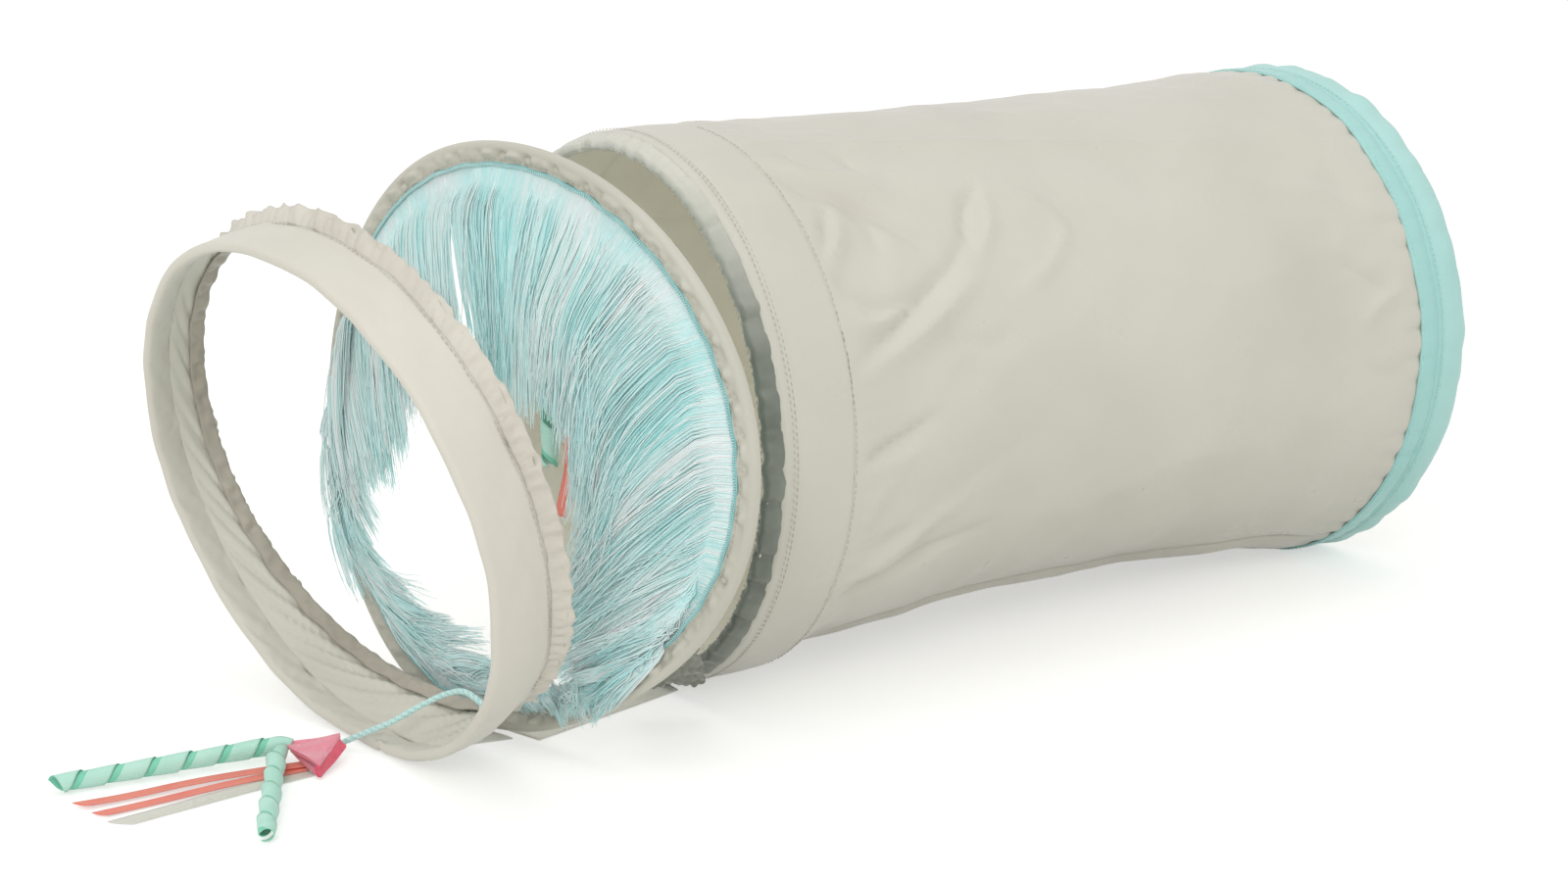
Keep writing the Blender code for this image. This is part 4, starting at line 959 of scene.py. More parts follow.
def mouth_casing_piece():
    """The gathered casing at the mouth: it folds in from the band's edge, round a pocket for the wire."""
    a = around(640)
    turn = np.linspace(0.42 * math.pi, -0.62 * math.pi, 13)
    reach, drop, radius = 0.0044, 0.0056, 0.0023
    outs = [-0.0012, -0.0011, -0.0012, -0.0018, -0.0026]
    backs = [0.0030, 0.0008, -0.0006, -0.0022, -0.0038]
    outs += [-drop + radius * math.sin(t) for t in turn]
    backs += [-reach - radius * math.cos(t) for t in turn]
    outs += [-0.0066, -0.0050, -0.0036, -0.0028]
    backs += [-0.0014, -0.0006, 0.0006, 0.0030]
    outs, backs = np.array(outs), np.array(backs)
    angle, share = grid(a, np.arange(len(outs)) / (len(outs) - 1))
    pull = arch(share * 1.25) ** 0.9
    puff = gathers(angle, 96, 31) * 0.00090 * (0.6 + 0.4 * swell(angle, 15, 36))
    puff = puff + crumple(angle, share, 35) * 0.00070 + swell(angle, 9, 33) * 0.0005
    pinch = sum(bump(turned(angle - math.radians(d)) * TUBE_RADIUS, 0.0020) for d in CASING_PINCHES)
    out = outs[None] + puff * pull - pinch * 0.0016 * pull
    back = backs[None] + gathers(angle, 96, 34) * 0.0003 * pull + pinch * 0.0009 * pull
    cloth_piece(
        "mouth_casing_cloth", tube.at(out, back, angle), [CASING_SATIN_PAINTED_SHADING], "tube", "binding_cloth",
        "mouth_casing", "gathered", ["mouth_wire", "mouth_facing"], thick=THIN_CLOTH,
    )
    line, face = seam(tube, -drop - 0.0014, -reach - 0.0026, a)
    seams = [(line, unit(face - np.array([2.0, 0.0, 0.0])))]
    stitch_line("mouth_casing_stitches", seams, "tube", "tube_cloth", GREY_THREAD, thickness=0.0006)

    def round_bar(angles, size):
        """The points of a round bar along the middle of the pocket."""
        ring, steps = grid(angles, around(10))
        return tube.at(-drop + size * np.sin(steps), -reach - size * np.cos(steps), ring)

    wire = grid_piece("mouth_spring_wire", round_bar(a[::4], WIRE_RADIUS), [WIRE_STEEL], loop=True)
    finish_piece(wire, "tube", "hoop_wire", "mouth_wire")
    wall = round_bar(a[:48:4] * 0.75 + math.radians(262), WIRE_RADIUS + 0.0004)
    sleeve = grid_piece("mouth_wire_joint", wall, [SLEEVE_STEEL], ring=False, loop=True, cap=True)
    finish_piece(sleeve, "tube", "wire_sleeve", "mouth_wire_sleeve")


def far_band_piece():
    """The turquoise casing at the far end: a flat strip, a stitched ridge and a puffed roll over the wire."""
    turn = np.linspace(0.42 * math.pi, -0.5 * math.pi, 10)
    outs = [-0.0001, 0.0007, 0.0008, 0.0009, 0.0008, 0.0003, 0.0011]
    backs = [0.0312, 0.0311, 0.0290, 0.0250, 0.0210, 0.0190, 0.0181]
    outs += [0.0013, 0.0004, 0.0008, 0.0013, 0.0015, 0.0013, 0.0008]
    backs += [0.0174, 0.0163, 0.0145, 0.0115, 0.0085, 0.0055, 0.0035]
    outs += [-0.0022 + 0.0024 * math.sin(t) for t in turn]
    backs += [0.0026 - 0.0024 * math.cos(t) for t in turn]
    outs += [-0.0044, -0.0040, -0.0036, -0.0034]
    backs += [0.0050, 0.0095, 0.0140, 0.0182]
    outs, backs = np.array(outs), np.array(backs)
    angle, place = grid(around(480), np.arange(len(outs)))
    roll = bump(backs[None] - 0.006, 0.0060)
    strip = bump(backs[None] - 0.025, 0.0050)
    out = outs[None] + roll * (0.0011 * swell(angle, 24, 41) + 0.0008 * gathers(angle, 42, 42))
    out = out + strip * (0.0008 * far_gathers(angle)) + 0.0004 * swell(angle, 8, 44)
    back = backs[None] + 0.0006 * swell(angle, 30, 43) * (place > 8) + 0.0007 * swell(angle, 12, 45)
    out = out - 0.0009 * bump(backs[None] - 0.0178, 0.0022) * (1 + 0.6 * gathers(angle, 120, 46))
    points = tube.at(out, TUBE_LENGTH - back, angle)
    band = cloth_piece(
        "far_band_cloth", points, [TEAL_SATIN, TEAL_SATIN_PAINTED_SHADE], "far_end", "teal_cloth",
        "far_band", "gathered", ["far_wire", "tube_cloth"], thick=THIN_CLOTH,
    )
    band.modifiers["wall"].material_offset = band.modifiers["wall"].material_offset_rim = 0
    across = points.shape[1] - 1
    # The strip nearer the tube takes the darker teal copy, as painted shade.
    for face in band.data.polygons:
        face.material_index = int(face.index % across < 8)


def tube_stitches():
    """The hem's and the mouth casing's rows, and the far band's two rows."""
    a = STITCH_RING
    hem_back = HEM_PLACE + 0.00005 + 0.0003 * swell(a, 20, 51)
    rows = [
        seam(tube, -0.00045 + 0.0003 * hem_gathers(a), hem_back, a),
        seam(tube, -0.0001, 0.0068 + 0.0003 * swell(a, 16, 52), a),
        seam(tube, 0.0006, 0.0046 + 0.0002 * swell(a, 16, 53), a),
    ]
    stitch_line("tube_stitches", rows, "tube", "tube_cloth", GREY_THREAD)
    sway = swell(a, 12, 45)
    rows = [
        seam(tube, 0.0007, TUBE_LENGTH - 0.0163 + 0.0004 * sway, a),
        seam(tube, 0.0010, TUBE_LENGTH - 0.0297 + 0.0007 * sway, a),
    ]
    stitch_line("far_stitches", rows, "far_end", "teal_cloth", TEAL_THREAD)


tube_piece()
mouth_band_piece()
seam_tape_piece()
mouth_casing_piece()
far_band_piece()
tube_stitches()


# Fringed hoop

def fringe_binding_piece():
    """Bias binding folded over the wire, its two legs sewn together at the gathered inner edge."""
    turn = np.linspace(-0.62 * math.pi, 0.62 * math.pi, 17)
    outs = [-0.0097, -0.0086, -0.0078, -0.0068, -0.0056, -0.0046]
    backs = [-0.0011, -0.0013, -0.0010, -0.0016, -0.0020, -0.0023]
    ends = list(zip(outs, [-b for b in backs], strict=True))[::-1]
    outs += [-0.0026 + 0.0026 * math.cos(t) for t in turn] + [o for o, _ in ends]
    backs += [0.0025 * math.sin(t) for t in turn] + [b for _, b in ends]
    outs, backs = np.array(outs), np.array(backs)
    angle = np.broadcast_to(around(900)[:, None], (900, len(outs)))
    edge = smooth(-outs[None], 0.0030, 0.0085)
    creases = 1.8 * crumple(angle, outs[None] / 0.009, 67)
    puff = 1.1 * gathers(angle, 120, 61) * (0.6 + 0.4 * swell(angle, 17, 65)) + creases
    out = outs[None] + edge * (0.0006 * binding_sway(angle) + 0.0003 * puff) + 0.0004 * swell(angle, 7, 63)
    lean = np.sign(backs[None]) * 0.0011 * puff * arch(edge) ** 0.8
    back = backs[None] + lean + 0.0004 * swell(angle, 40, 64) * edge
    cloth_piece(
        "fringe_binding_cloth", fringe.at(out, back, angle), [BINDING_SATIN], "fringe_hoop", "binding_cloth",
        "fringe_binding", "gathered", ["fringe_wire", "fringe_tape"], thick=THIN_CLOTH,
    )


def fringe_tape_piece():
    """The narrow tape that the strands are sewn to, its whipped stitches and the binding's two rows."""
    a = around(720)
    outs = np.array([-0.0090, -0.0096, -0.0102, -0.0107])
    angle = np.broadcast_to(a[:, None], (len(a), len(outs)))
    ripple = 0.0002 * swell(angle, 60, 71)
    points = fringe.at(outs[None] + 0.0005 * binding_sway(angle), -0.0010 + ripple, angle)
    tape = grid_piece("fringe_tape_cloth", points, [TEAL_TAPE], thick=TUBE_CLOTH)
    finish_piece(tape, "fringe_hoop", "teal_cloth", "fringe_tape")
    sway = 0.0005 * binding_sway(a)
    whipping = [seam(fringe, -0.0101 + sway, -0.0019, a, -fringe.back)]
    stitch_line(
        "fringe_tape_whipping", whipping, "fringe_hoop", "teal_cloth", TEAL_THREAD,
        pitch=0.0011, length=0.0020, thickness=0.00062, across=1.0,
    )
    rows = [
        seam(fringe, -0.0080 + sway, -0.00145, a, -fringe.back),
        seam(fringe, -0.0080 + sway, 0.00145, a, fringe.back),
    ]
    stitch_line("fringe_binding_stitches", rows, "fringe_hoop", "binding_cloth", GREY_THREAD)


STRAND_ROOT = 0.0106
STRAND_POINTS = 14
GUIDE_PITCH = 2.0
STRAND_RADIUS = 0.00030
ROOT_RING = 0.118
BUNDLE_DEPTH = 0.0004
TABLE_START = -145.0
OVER_FAN = 7.0
OVER_FROM, OVER_TO, OVER_SHARE = -18.0, 30.0, 0.32

# Where a lock's middle, lower part and tip lie (side, up, forward, in millimetres), by the angle of its root
LOCKS = [
    (-145, (-91, -65, 3), (-76, -80, 6), (-60, -97, 5)),
    (-137, (-83, -75, 4), (-73, -88, 7), (-60, -101, 6)),
    (-125, (-64, -90, 4), (-60, -96, 7), (-54, -105, 6)),
    (-110, (-40, -101, 4), (-43, -101, 7), (-46, -107, 6)),
    (-95, (-14, -105, 4), (-20, -101, 7), (-30, -104, 6)),
    (-80, (14, -106, 4), (-2, -101, 7), (-20, -102, 6)),
    (-66, (41, -102, 2), (22, -101, 4), (-6, -103, 4)),
    (-52, (66, -90, 2), (47, -95, 3), (22, -99, 3)),
    (-38, (88, -75, 2), (72, -85, 3), (48, -94, 3)),
    (-24, (105, -57, 2), (95, -74, 3), (76, -90, 3)),
    (-12, (115, -36, 2), (108, -55, 3), (95, -72, 3)),
    (0, (117, -12, 2), (113, -32, 3), (104, -52, 3)),
    (10, (113, 8, 2), (108, -14, 3), (98, -38, 3)),
    (22, (105, 28, 1), (97, -2, 2), (88, -33, 2)),
    (34, (93, 50, 1), (85, 18, 2), (76, -23, 2)),
    (46, (78, 68, 1), (71, 36, 2), (62, -6, 2)),
    (58, (61, 84, 1), (55, 55, 2), (50, 18, 2)),
    (70, (43, 92, 1), (39, 66, 2), (33, 34, 2)),
    (76.0, (37, 95, 1), (36, 70, 2), (31, 38, 2)),
    (76.8, (31, 96, 1), (21, 70, 2), (8, 34, 2)),
    (88, (8, 100, 1), (6, 72, 2), (5, 36, 2)),
    (97, (-9, 98, 1), (-5, 62, 2), (-5, 18, 2)),
    (105, (-26, 96, 1), (-19, 66, 2), (-21, 32, 2)),
    (118, (-50, 88, 1), (-38, 58, 2), (-37, 20, 2)),
    (126, (-59, 81, 1), (-43, 50, 2), (-42, 8, 2)),
    (134, (-69, 72, 1), (-48, 40, 2), (-46, -4, 2)),
    (146, (-82, 58, 1), (-56, 26, 2), (-49, -22, 2)),
    (158, (-93, 39, 1), (-65, 6, 2), (-50, -40, 2)),
    (170, (-100, 16, 1), (-71, -14, 2), (-46, -54, 2)),
    (180, (-103, -4, 1), (-74, -34, 3), (-43, -70, 3)),
    (192, (-101, -29, 1), (-74, -56, 3), (-43, -90, 4)),
    (202, (-99, -47, 2), (-77, -72, 4), (-48, -99, 5)),
    (215, (-91, -65, 3), (-76, -80, 6), (-60, -97, 5)),
]

# The same for locks that fall outwards over the binding on the left
OVER_LOCKS = [
    (-20, (111, -56, 6), (97, -78, 6), (80, -96, 4)),
    (-8, (117, -34, 6), (110, -56, 6), (97, -76, 4)),
    (4, (118, -8, 6), (116, -36, 6), (107, -60, 4)),
    (16, (115, 18, 6), (117, -14, 6), (112, -42, 4)),
    (30, (105, 44, 6), (112, 12, 6), (112, -22, 4)),
]

# How far, in millimetres, locks fan out towards the hoop's centre at their tips, by the angle of the root
FAN_ANGLES = [-145, -120, -70, -55, -20, 0, 30, 60, 150, 175, 195, 215]
FAN_WIDTHS = [16, 6, 10, 20, 22, 16, 6, 3, 2, 8, 18, 16]


def table_angle(degrees):
    """The same angle, within the one turn that the tables cover."""
    return (degrees - TABLE_START) % 360.0 + TABLE_START


def table_place(table, degrees):
    """A lock's three places, read between the table's rows."""
    angles = [row[0] for row in table]
    places = np.array([row[1:] for row in table], float)
    return np.array([[np.interp(degrees, angles, places[:, j, k]) for k in range(3)] for j in range(3)])


def lock_line(degrees, draw, lock, over, depth):
    """One guide of a lock: from its root square to the tape, then through its places to a loose tip."""
    a = math.radians(degrees)
    s, t = fringe.plan(a)
    ns, nt = fringe.normal(a)
    wrapped = table_angle(degrees)
    root = np.array([s - ns * STRAND_ROOT, t - nt * STRAND_ROOT, 0.0006])
    leave = root + np.array([-ns, -nt, 0.0]) * 0.006 + np.array([0.0, 0.0, 0.0010])
    places = table_place(OVER_LOCKS if over else LOCKS, wrapped) / 1000.0
    shift = lock["shift"] + np.array([draw.normal(0, 0.0012), draw.normal(0, 0.0012)])
    fan = OVER_FAN if over else np.interp(wrapped, FAN_ANGLES, FAN_WIDTHS)
    fan = fan * (lock["fan"] + draw.uniform(0, 0.25)) / 1000.0
    for k in range(3):
        places[k, :2] -= unit(places[k, :2]) * fan * (0.0, 0.6, 1.0)[k]
        places[k, :2] += shift * (0.3, 0.8, 1.5)[k]
        places[k, 2] = places[k, 2] * lock["rise"] + depth * (0.6 + 0.4 * k)
    length = lock["length"] * draw.uniform(0.96, 1.04)
    places[2, :2] = places[1, :2] + (places[2, :2] - places[1, :2]) * length
    flat = smooth_line([root, leave, *places], STRAND_POINTS)
    flat[:, 1] = np.maximum(flat[:, 1], 0.0013 - fringe.centre[2])
    return fringe.place(flat[:, 0], flat[:, 1], -flat[:, 2])


FRINGE_GROUPS = {
    "fringe_top": (61.0, 119.0),
    "fringe_upper_left": (20.0, 61.0),
    "fringe_left": (-20.0, 20.0),
    "fringe_lower_left": (-62.0, -20.0),
    "fringe_upper_right": (119.0, 160.0),
    "fringe_right": (160.0, 200.0),
    "fringe_lower_right": (200.0, 242.0),
    "fringe_foot": (242.0, 298.0),
}
# Where the fringe is thinner than at its top
THINNER = {"fringe_upper_left": 0.6, "fringe_left": 0.45, "fringe_lower_left": 0.6, "fringe_foot": 0.8}
# Name, strands in each bundle, width at the root, share of it at the tip, wander, depth and shortest length
FRINGE_LAYERS = [
    ("curtain", 38, 1.10, 1.25, 0.0050, -0.0004, 0.86),
    ("locks", 22, 1.00, 0.55, 0.0036, 0.0007, 0.88),
    ("strays", 5, 1.40, 1.40, 0.0150, 0.0018, 0.80),
]


def fringe_strands():
    """The strands, group by group and layer by layer: three guides share a lock's own draw."""
    for number, (node, (first, last)) in enumerate(FRINGE_GROUPS.items()):
        for layer, (title, strands, wide, tip, wander, depth, shortest) in enumerate(FRINGE_LAYERS):
            draw = np.random.default_rng(700 + 10 * number + layer)
            count = round((last - first) / GUIDE_PITCH)
            lines, across, lift, tone = [], [], [], []
            for k in range(count):
                if k % 3 == 0:
                    lock = {
                        "shift": draw.normal(0, 0.0026, 2),
                        "fan": draw.uniform(0, 0.75),
                        "rise": draw.uniform(0.6, 1.3),
                        "length": draw.uniform(0.82, 1.12),
                        "depth": draw.uniform(0.0, 0.0014),
                        # Painted light: locks on the left and at the foot never take the deepest tones, so
                        # that they read paler in their shade among the strands.
                        "tone": draw.uniform(0.35 if "left" in node or "foot" in node else 0.0, 1.0),
                    }
                degrees = first + (k + 0.5 + draw.normal(0, 0.18)) * (last - first) / count
                over = OVER_FROM < table_angle(degrees) < OVER_TO and draw.uniform() < OVER_SHARE
                line = lock_line(degrees, draw, lock, over, depth + lock["depth"] + draw.uniform(0.0, 0.0005))
                lines.append(line)
                tone.append(np.broadcast_to([lock["tone"], 0.0, 0.0], line.shape))
                root = fringe.at(-STRAND_ROOT, 0.0, np.radians([degrees + 0.05, degrees - 0.05]))
                way = unit(root[0] - root[1])
                run = unit(np.gradient(line, axis=0))
                square = unit(np.cross(run, fringe.back))
                square = square * np.where(square @ way < 0, -1.0, 1.0)[:, None]
                mix = np.linspace(0, 1, len(line))[:, None]
                across.append(unit(way * (1 - mix) + square * mix))
                lift.append(np.broadcast_to(-fringe.back, line.shape))
            ways = {"across": across, "lift": lift, "tone": tone}
            guide = line_object(f"{node}_{title}_guides", lines, ways)
            values = {
                "Strands": round(strands * THINNER.get(node, 1.0)) if layer < 2 else strands,
                "Spread": math.radians(GUIDE_PITCH) * ROOT_RING * wide,
                "Tip Share": tip,
                "Depth": BUNDLE_DEPTH,
                "Wander": wander,
                "Strand Radius": STRAND_RADIUS,
                "Shortest": shortest,
                "Seed": 40 + 10 * number + layer,
                "Material": SILK,
            }
            item = grown(f"{node}_{title}", guide, STRANDS, values)
            for vertex in item.data.vertices:
                vertex.co.z = max(vertex.co.z, FLOOR_REST)
            finish_piece(item, "fringe_hoop", "fringe_fibre", *([node] if layer == 0 else []))


fringe_binding_piece()
fringe_tape_piece()
fringe_strands()


# Front hoop

def band_edge(a):
    """The band's width and how far its rear edge is drawn in, more where its foot is pulled."""
    pull = lowness(a) ** 4
    return FRONT_BAND + (FRONT_BAND_FOOT - FRONT_BAND) * pull, FRONT_DRAW * pull


def front_band_piece():
    """The front band: its outer face, the fold round the wire, and the gathered leg inside."""
    a = around(600)
    wide, draw = band_edge(a)
    turn = np.linspace(0.46 * math.pi, 1.5 * math.pi, 12)
    rear = np.linspace(1, 0, 10)
    start = 0.0036
    outer_back = start + rear[None] * (wide[:, None] - start)
    outer_out = -draw[:, None] * smooth(outer_back, FRONT_CASING, wide[:, None])
    fold_back = np.broadcast_to([0.0026 + 0.0026 * math.cos(t) for t in turn], (len(a), len(turn)))
    fold_out = np.broadcast_to([-0.0024 + 0.0024 * math.sin(t) for t in turn], (len(a), len(turn)))
    inner_back = np.broadcast_to([0.0045, 0.0070, 0.0095, 0.0118, 0.0134, 0.0142], (len(a), 6))
    inner_out = np.broadcast_to([-0.0046, -0.0040, -0.0031, -0.0021, -0.0013, -0.0010], (len(a), 6))
    inside_from = len(rear) + len(turn) - 1
    out = np.concatenate([outer_out, fold_out, inner_out], 1)
    back = np.concatenate([outer_back, fold_back, inner_back], 1)
    angle = np.broadcast_to(a[:, None], out.shape)
    soft = smooth(back, 0.002, 0.012)
    waves = 0.00045 * swell(angle + back * 14, 17, 82) + 0.0004 * swell(angle - back * 30, 31, 79)
    out = out + band_sway(angle) + waves * soft
    inside = np.arange(out.shape[1])[None] >= inside_from
    low = 0.25 + 0.75 * lowness(angle - 0.5) ** 2
    creases = 0.0008 * gathers(angle + back * 9, 44, 83) + 0.0007 * crumple(angle + back * 22, 0.0, 89)
    out = out + inside * low * creases * bump(back - 0.008, 0.006)
    pinch = bump(turned(angle - math.radians(PINCH_ANGLE)) * FRONT_SIZES[0], 0.0016)
    out = out - 0.0014 * pinch * (1 - smooth(back, 0.004, 0.016)) * (~inside)
    back = back + 0.0005 * swell(angle, 9, 84) + 0.0004 * swell(angle, 24, 85) * (1 - soft)
    cloth_piece(
        "front_band_cloth", front.at(out, back, angle)[:, ::-1], [BAND_SATIN, BAND_SATIN], "front_hoop",
        "band_cloth", "front_band", "stretched", ["front_wire", "front_lining"], thick=THIN_CLOTH,
    )


def front_lining_pieces():
    """The puckered lining behind the band, and its free edge beside the ruffle, in a darker copy of the
    lining satin as painted shade.
    """
    a = around(600)
    wide, draw = band_edge(a)
    share = np.linspace(0, 1, 16)
    back = FRONT_CASING - 0.0008 + share[None] * (wide[:, None] + 0.0008 - FRONT_CASING)
    angle = np.broadcast_to(a[:, None], back.shape)
    out = -0.0009 - draw[:, None] * smooth(back, FRONT_CASING, wide[:, None]) + band_sway(angle)
    low = 0.35 + 0.65 * lowness(angle) ** 1.5
    puckers = 0.0021 * (gathers(angle + (back - FRONT_CASING) * 26, 40, 86) + 0.8)
    puckers = puckers + 0.0006 * crumple(angle + back * 30, 0.0, 93)
    out = out - low * puckers * np.sin(math.pi * share[None]) ** 0.7
    cloth_piece(
        "front_lining_cloth", front.at(out, back, angle), [LINING_PALE], "front_hoop", "tube_cloth",
        "front_lining", "stretched", ["front_band"], thick=THIN_CLOTH,
    )

    share = np.linspace(0, 1, 8)
    width = 0.0044 + 0.0007 * swell(a, 30, 87)
    back = wide[:, None] - width[:, None] + share[None] * (width[:, None] + 0.0022)
    angle = np.broadcast_to(a[:, None], back.shape)
    creased = 0.0010 * crumple(angle, share[None], 88) * np.sin(math.pi * share[None] * 0.9)
    rise = 0.0026 * low[:, -1:] + 0.0012 + creased + 0.0008 * share[None]
    out = -0.0009 - draw[:, None] * smooth(back, FRONT_CASING, wide[:, None]) - rise
    # The free edge takes the darker lining copy: painted shade.
    edge = grid_piece("front_lining_edge", front.at(out, back, angle), [LINING_SATIN_PAINTED_SHADE], thick=THIN_CLOTH)
    finish_piece(edge, "front_hoop", "tube_cloth")


def front_ruffle_piece():
    """The gathered seam allowance behind the band: two raw edges of cloth, crumpled by the seam."""
    a = around(1000)
    wide, draw = band_edge(a)
    rise = np.minimum(1.0, (0.5 + 0.5 * np.sin(a)) * 3.0)
    width = 0.0035 + 0.0065 * rise
    flare = math.radians(42) * rise
    share = np.linspace(0, 1, 10)[None]
    angle = np.broadcast_to(a[:, None], (len(a), 10))
    for name, shift, seed, size in (("upper", -0.0006, 91, 1.0), ("lower", -0.0018, 95, 0.86)):
        pucker = (0.0011 * crumple(angle, share, seed) + 0.0003 * swell(angle, 21, seed + 1)) * share**0.5
        pucker = pucker + 0.0008 * gathers(angle + share * 0.02, 150, seed + 5) * arch(share * 1.3)
        uneven = 0.90 + 0.02 * swell(angle, 46, seed + 2) + 0.06 * crumple(angle, 1.0, seed + 4)
        run = width[:, None] * size * share * uneven
        slope = flare[:, None] + 0.10 * swell(angle, 13, seed + 3) * share
        out = -draw[:, None] + shift + np.sin(slope) * run + np.cos(slope) * pucker
        back = wide[:, None] - 0.0006 + np.cos(slope) * run - np.sin(slope) * pucker
        points = front.at(out, back, angle)
        # The ruffle's darker tones are painted shade.
        ruffle = grid_piece("front_ruffle_" + name, points, [RUFFLE_SATIN_PAINTED_SHADE, BAND_INSIDE], thick=THIN_CLOTH)
        finish_piece(ruffle, "front_hoop", "band_cloth", *(["front_ruffle"] if name == "upper" else []))


def front_stitches():
    """The casing's row, seen from inside, and the row near the band's rear edge."""
    a = STITCH_RING
    wide, draw = band_edge(a)
    sway = band_sway(a)
    inner, face = seam(front, -0.0012 + sway, 0.0136 + 0.0005 * swell(a, 9, 84), a)
    rear = seam(front, 0.0001 - draw + sway, wide - 0.0014, a)
    rows = [(inner, -face), rear]
    stitch_line("front_stitches", rows, "front_hoop", "band_cloth", GREY_THREAD)


front_band_piece()
front_lining_pieces()
front_ruffle_piece()
front_stitches()


# Strips on the floor and the gathered tab

def strip_piece(node, rests_on):
    """A sewn strip that fills its solid's box along the floor, with a slight rumple."""
    low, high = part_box(node)
    corners = np.array([v.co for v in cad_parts[node].data.vertices])
    top = np.unique(corners[corners[:, 2] > (low.z + high.z) / 2].round(5), axis=0)
    order = np.argsort(top[:, 0])
    near, far = top[order[:2]], top[order[-2:]]
    near, far = near[np.argsort(near[:, 1])], far[np.argsort(far[:, 1])]
    u, v = grid(np.linspace(0, 1, 40), np.linspace(0, 1, 20))
    start = near[0] + (near[1] - near[0]) * v[..., None]
    stop = far[0] + (far[1] - far[0]) * v[..., None]
    points = start + (stop - start) * u[..., None]
    points[..., 2] += 0.0003 * np.sin(u * 21) * np.sin(v * 9) - 0.0001
    # The strip's near-white satin is painted light over the shade it lies in.
    cloth_piece(
        node + "_cloth", points, [STRIP_SATIN_PAINTED_LIGHT], "tube", "tube_cloth", node, "laid", rests_on,
        ring=False, thick=CLOTH,
    )


def tab_piece():
    """The gathered end of the joining cloth, crumpled beside the hoop's foot."""
    places = ORIGIN + np.array([
        (-0.0532, -0.1203, 0.0530),
        (-0.0452, -0.1063, 0.0425),
        (-0.0352, -0.0903, 0.0300),
        (-0.0232, -0.0713, 0.0170),
    ])
    line = smooth_line(places, 60)
    run = unit(places[-1] - places[0])
    lift = unit(UP - run * run[2])
    left = np.cross(lift, run)
    u, v = grid(np.linspace(0, 1, 60), np.linspace(-1, 1, 36))
    half = np.interp(np.linspace(0, 1, 60), [0, 0.4, 1], [0.0100, 0.0130, 0.0140])
    wave = 0.0016 * np.sin(u * 34 + 2.2 * v + 1.5 * np.sin(v * 3)) * (1 - 0.3 * v**2)
    fine = 0.0008 * np.sin(u * 71 + 5 * v) * np.cos(v * 7 + u * 9) + 0.0005 * np.sin(v * 23 + u * 17)
    edge = 0.0012 * np.sin(u * 47 + 3) * v
    points = line[:, None] + left * (half[:, None] * v + edge)[..., None] + lift * (wave + fine)[..., None]
    # The tab's dark satin is painted shade.
    tab = grid_piece("gathered_tab_cloth", points, [GATHERED_SATIN_PAINTED_SHADE], ring=False, thick=THIN_CLOTH)
    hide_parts("gathered_tab")
    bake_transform(tab)
    cut_sheet(points, ring=False)


strip_piece("rear_strip", ["mouth_facing", "fringe_binding"])
strip_piece("front_strip", ["fringe_binding", "front_band"])
tab_piece()


# Toys

CORD_PLACES = [
    (-0.1179, -0.0767, 0.0277),
    (-0.1205, -0.0663, 0.0306),
    (-0.1240, -0.0581, 0.0284),
    (-0.1300, -0.0520, 0.0243),
    (-0.1365, -0.0472, 0.0197),
    (-0.1435, -0.0408, 0.0140),
    (-0.1505, -0.0320, 0.0084),
    (-0.1576, -0.0240, 0.0030),
]


def braided_tube(name, line, diameter, twist=0.0042, sides=14):
    """A round braid along a line: its yarns cross in two hands and stand a little proud."""
    run = unit(np.gradient(line, axis=0))
    length = np.concatenate([[0.0], np.cumsum(np.linalg.norm(np.diff(line, axis=0), axis=1))])
    first = unit(np.cross(run[0], UP if abs(run[0][2]) < 0.9 else np.array([1.0, 0.0, 0.0])))
    q = around(sides)
    rows = []
    for k in range(len(line)):
        first = unit(first - run[k] * (first @ run[k]))
        second = np.cross(run[k], first)
        lay = 2 * math.pi * length[k] / twist
        over = np.sin(2 * q + lay) * np.sin(2 * q - lay)
        radius = diameter / 2 * (0.93 + 0.07 * over)
        rows.append(line[k] + radius[:, None] * (np.cos(q)[:, None] * first + np.sin(q)[:, None] * second))
    return grid_piece(name, np.array(rows)[:, ::-1], [CORD_BRAID], ring=False, loop=True, cap=True)


def knot_piece(name, centre):
    """A small overhand knot: one thick strand that winds through itself."""
    t = around(90)
    path = np.stack([np.sin(t) + 2 * np.sin(2 * t), np.cos(t) - 2 * np.cos(2 * t), -np.sin(3 * t)], 1)
    path = centre + path * (KNOT_RADIUS * 0.62 / 3)
    run = unit(np.roll(path, -1, 0) - np.roll(path, 1, 0))
    first = unit(np.cross(run, path - centre))
    second = np.cross(run, first)
    q = around(10)[None, :, None]
    points = path[:, None] + KNOT_RADIUS * 0.40 * (np.cos(q) * first[:, None] + np.sin(q) * second[:, None])
    return grid_piece(name, points[:, ::-1], [CORD_BRAID], ring=True, loop=True)


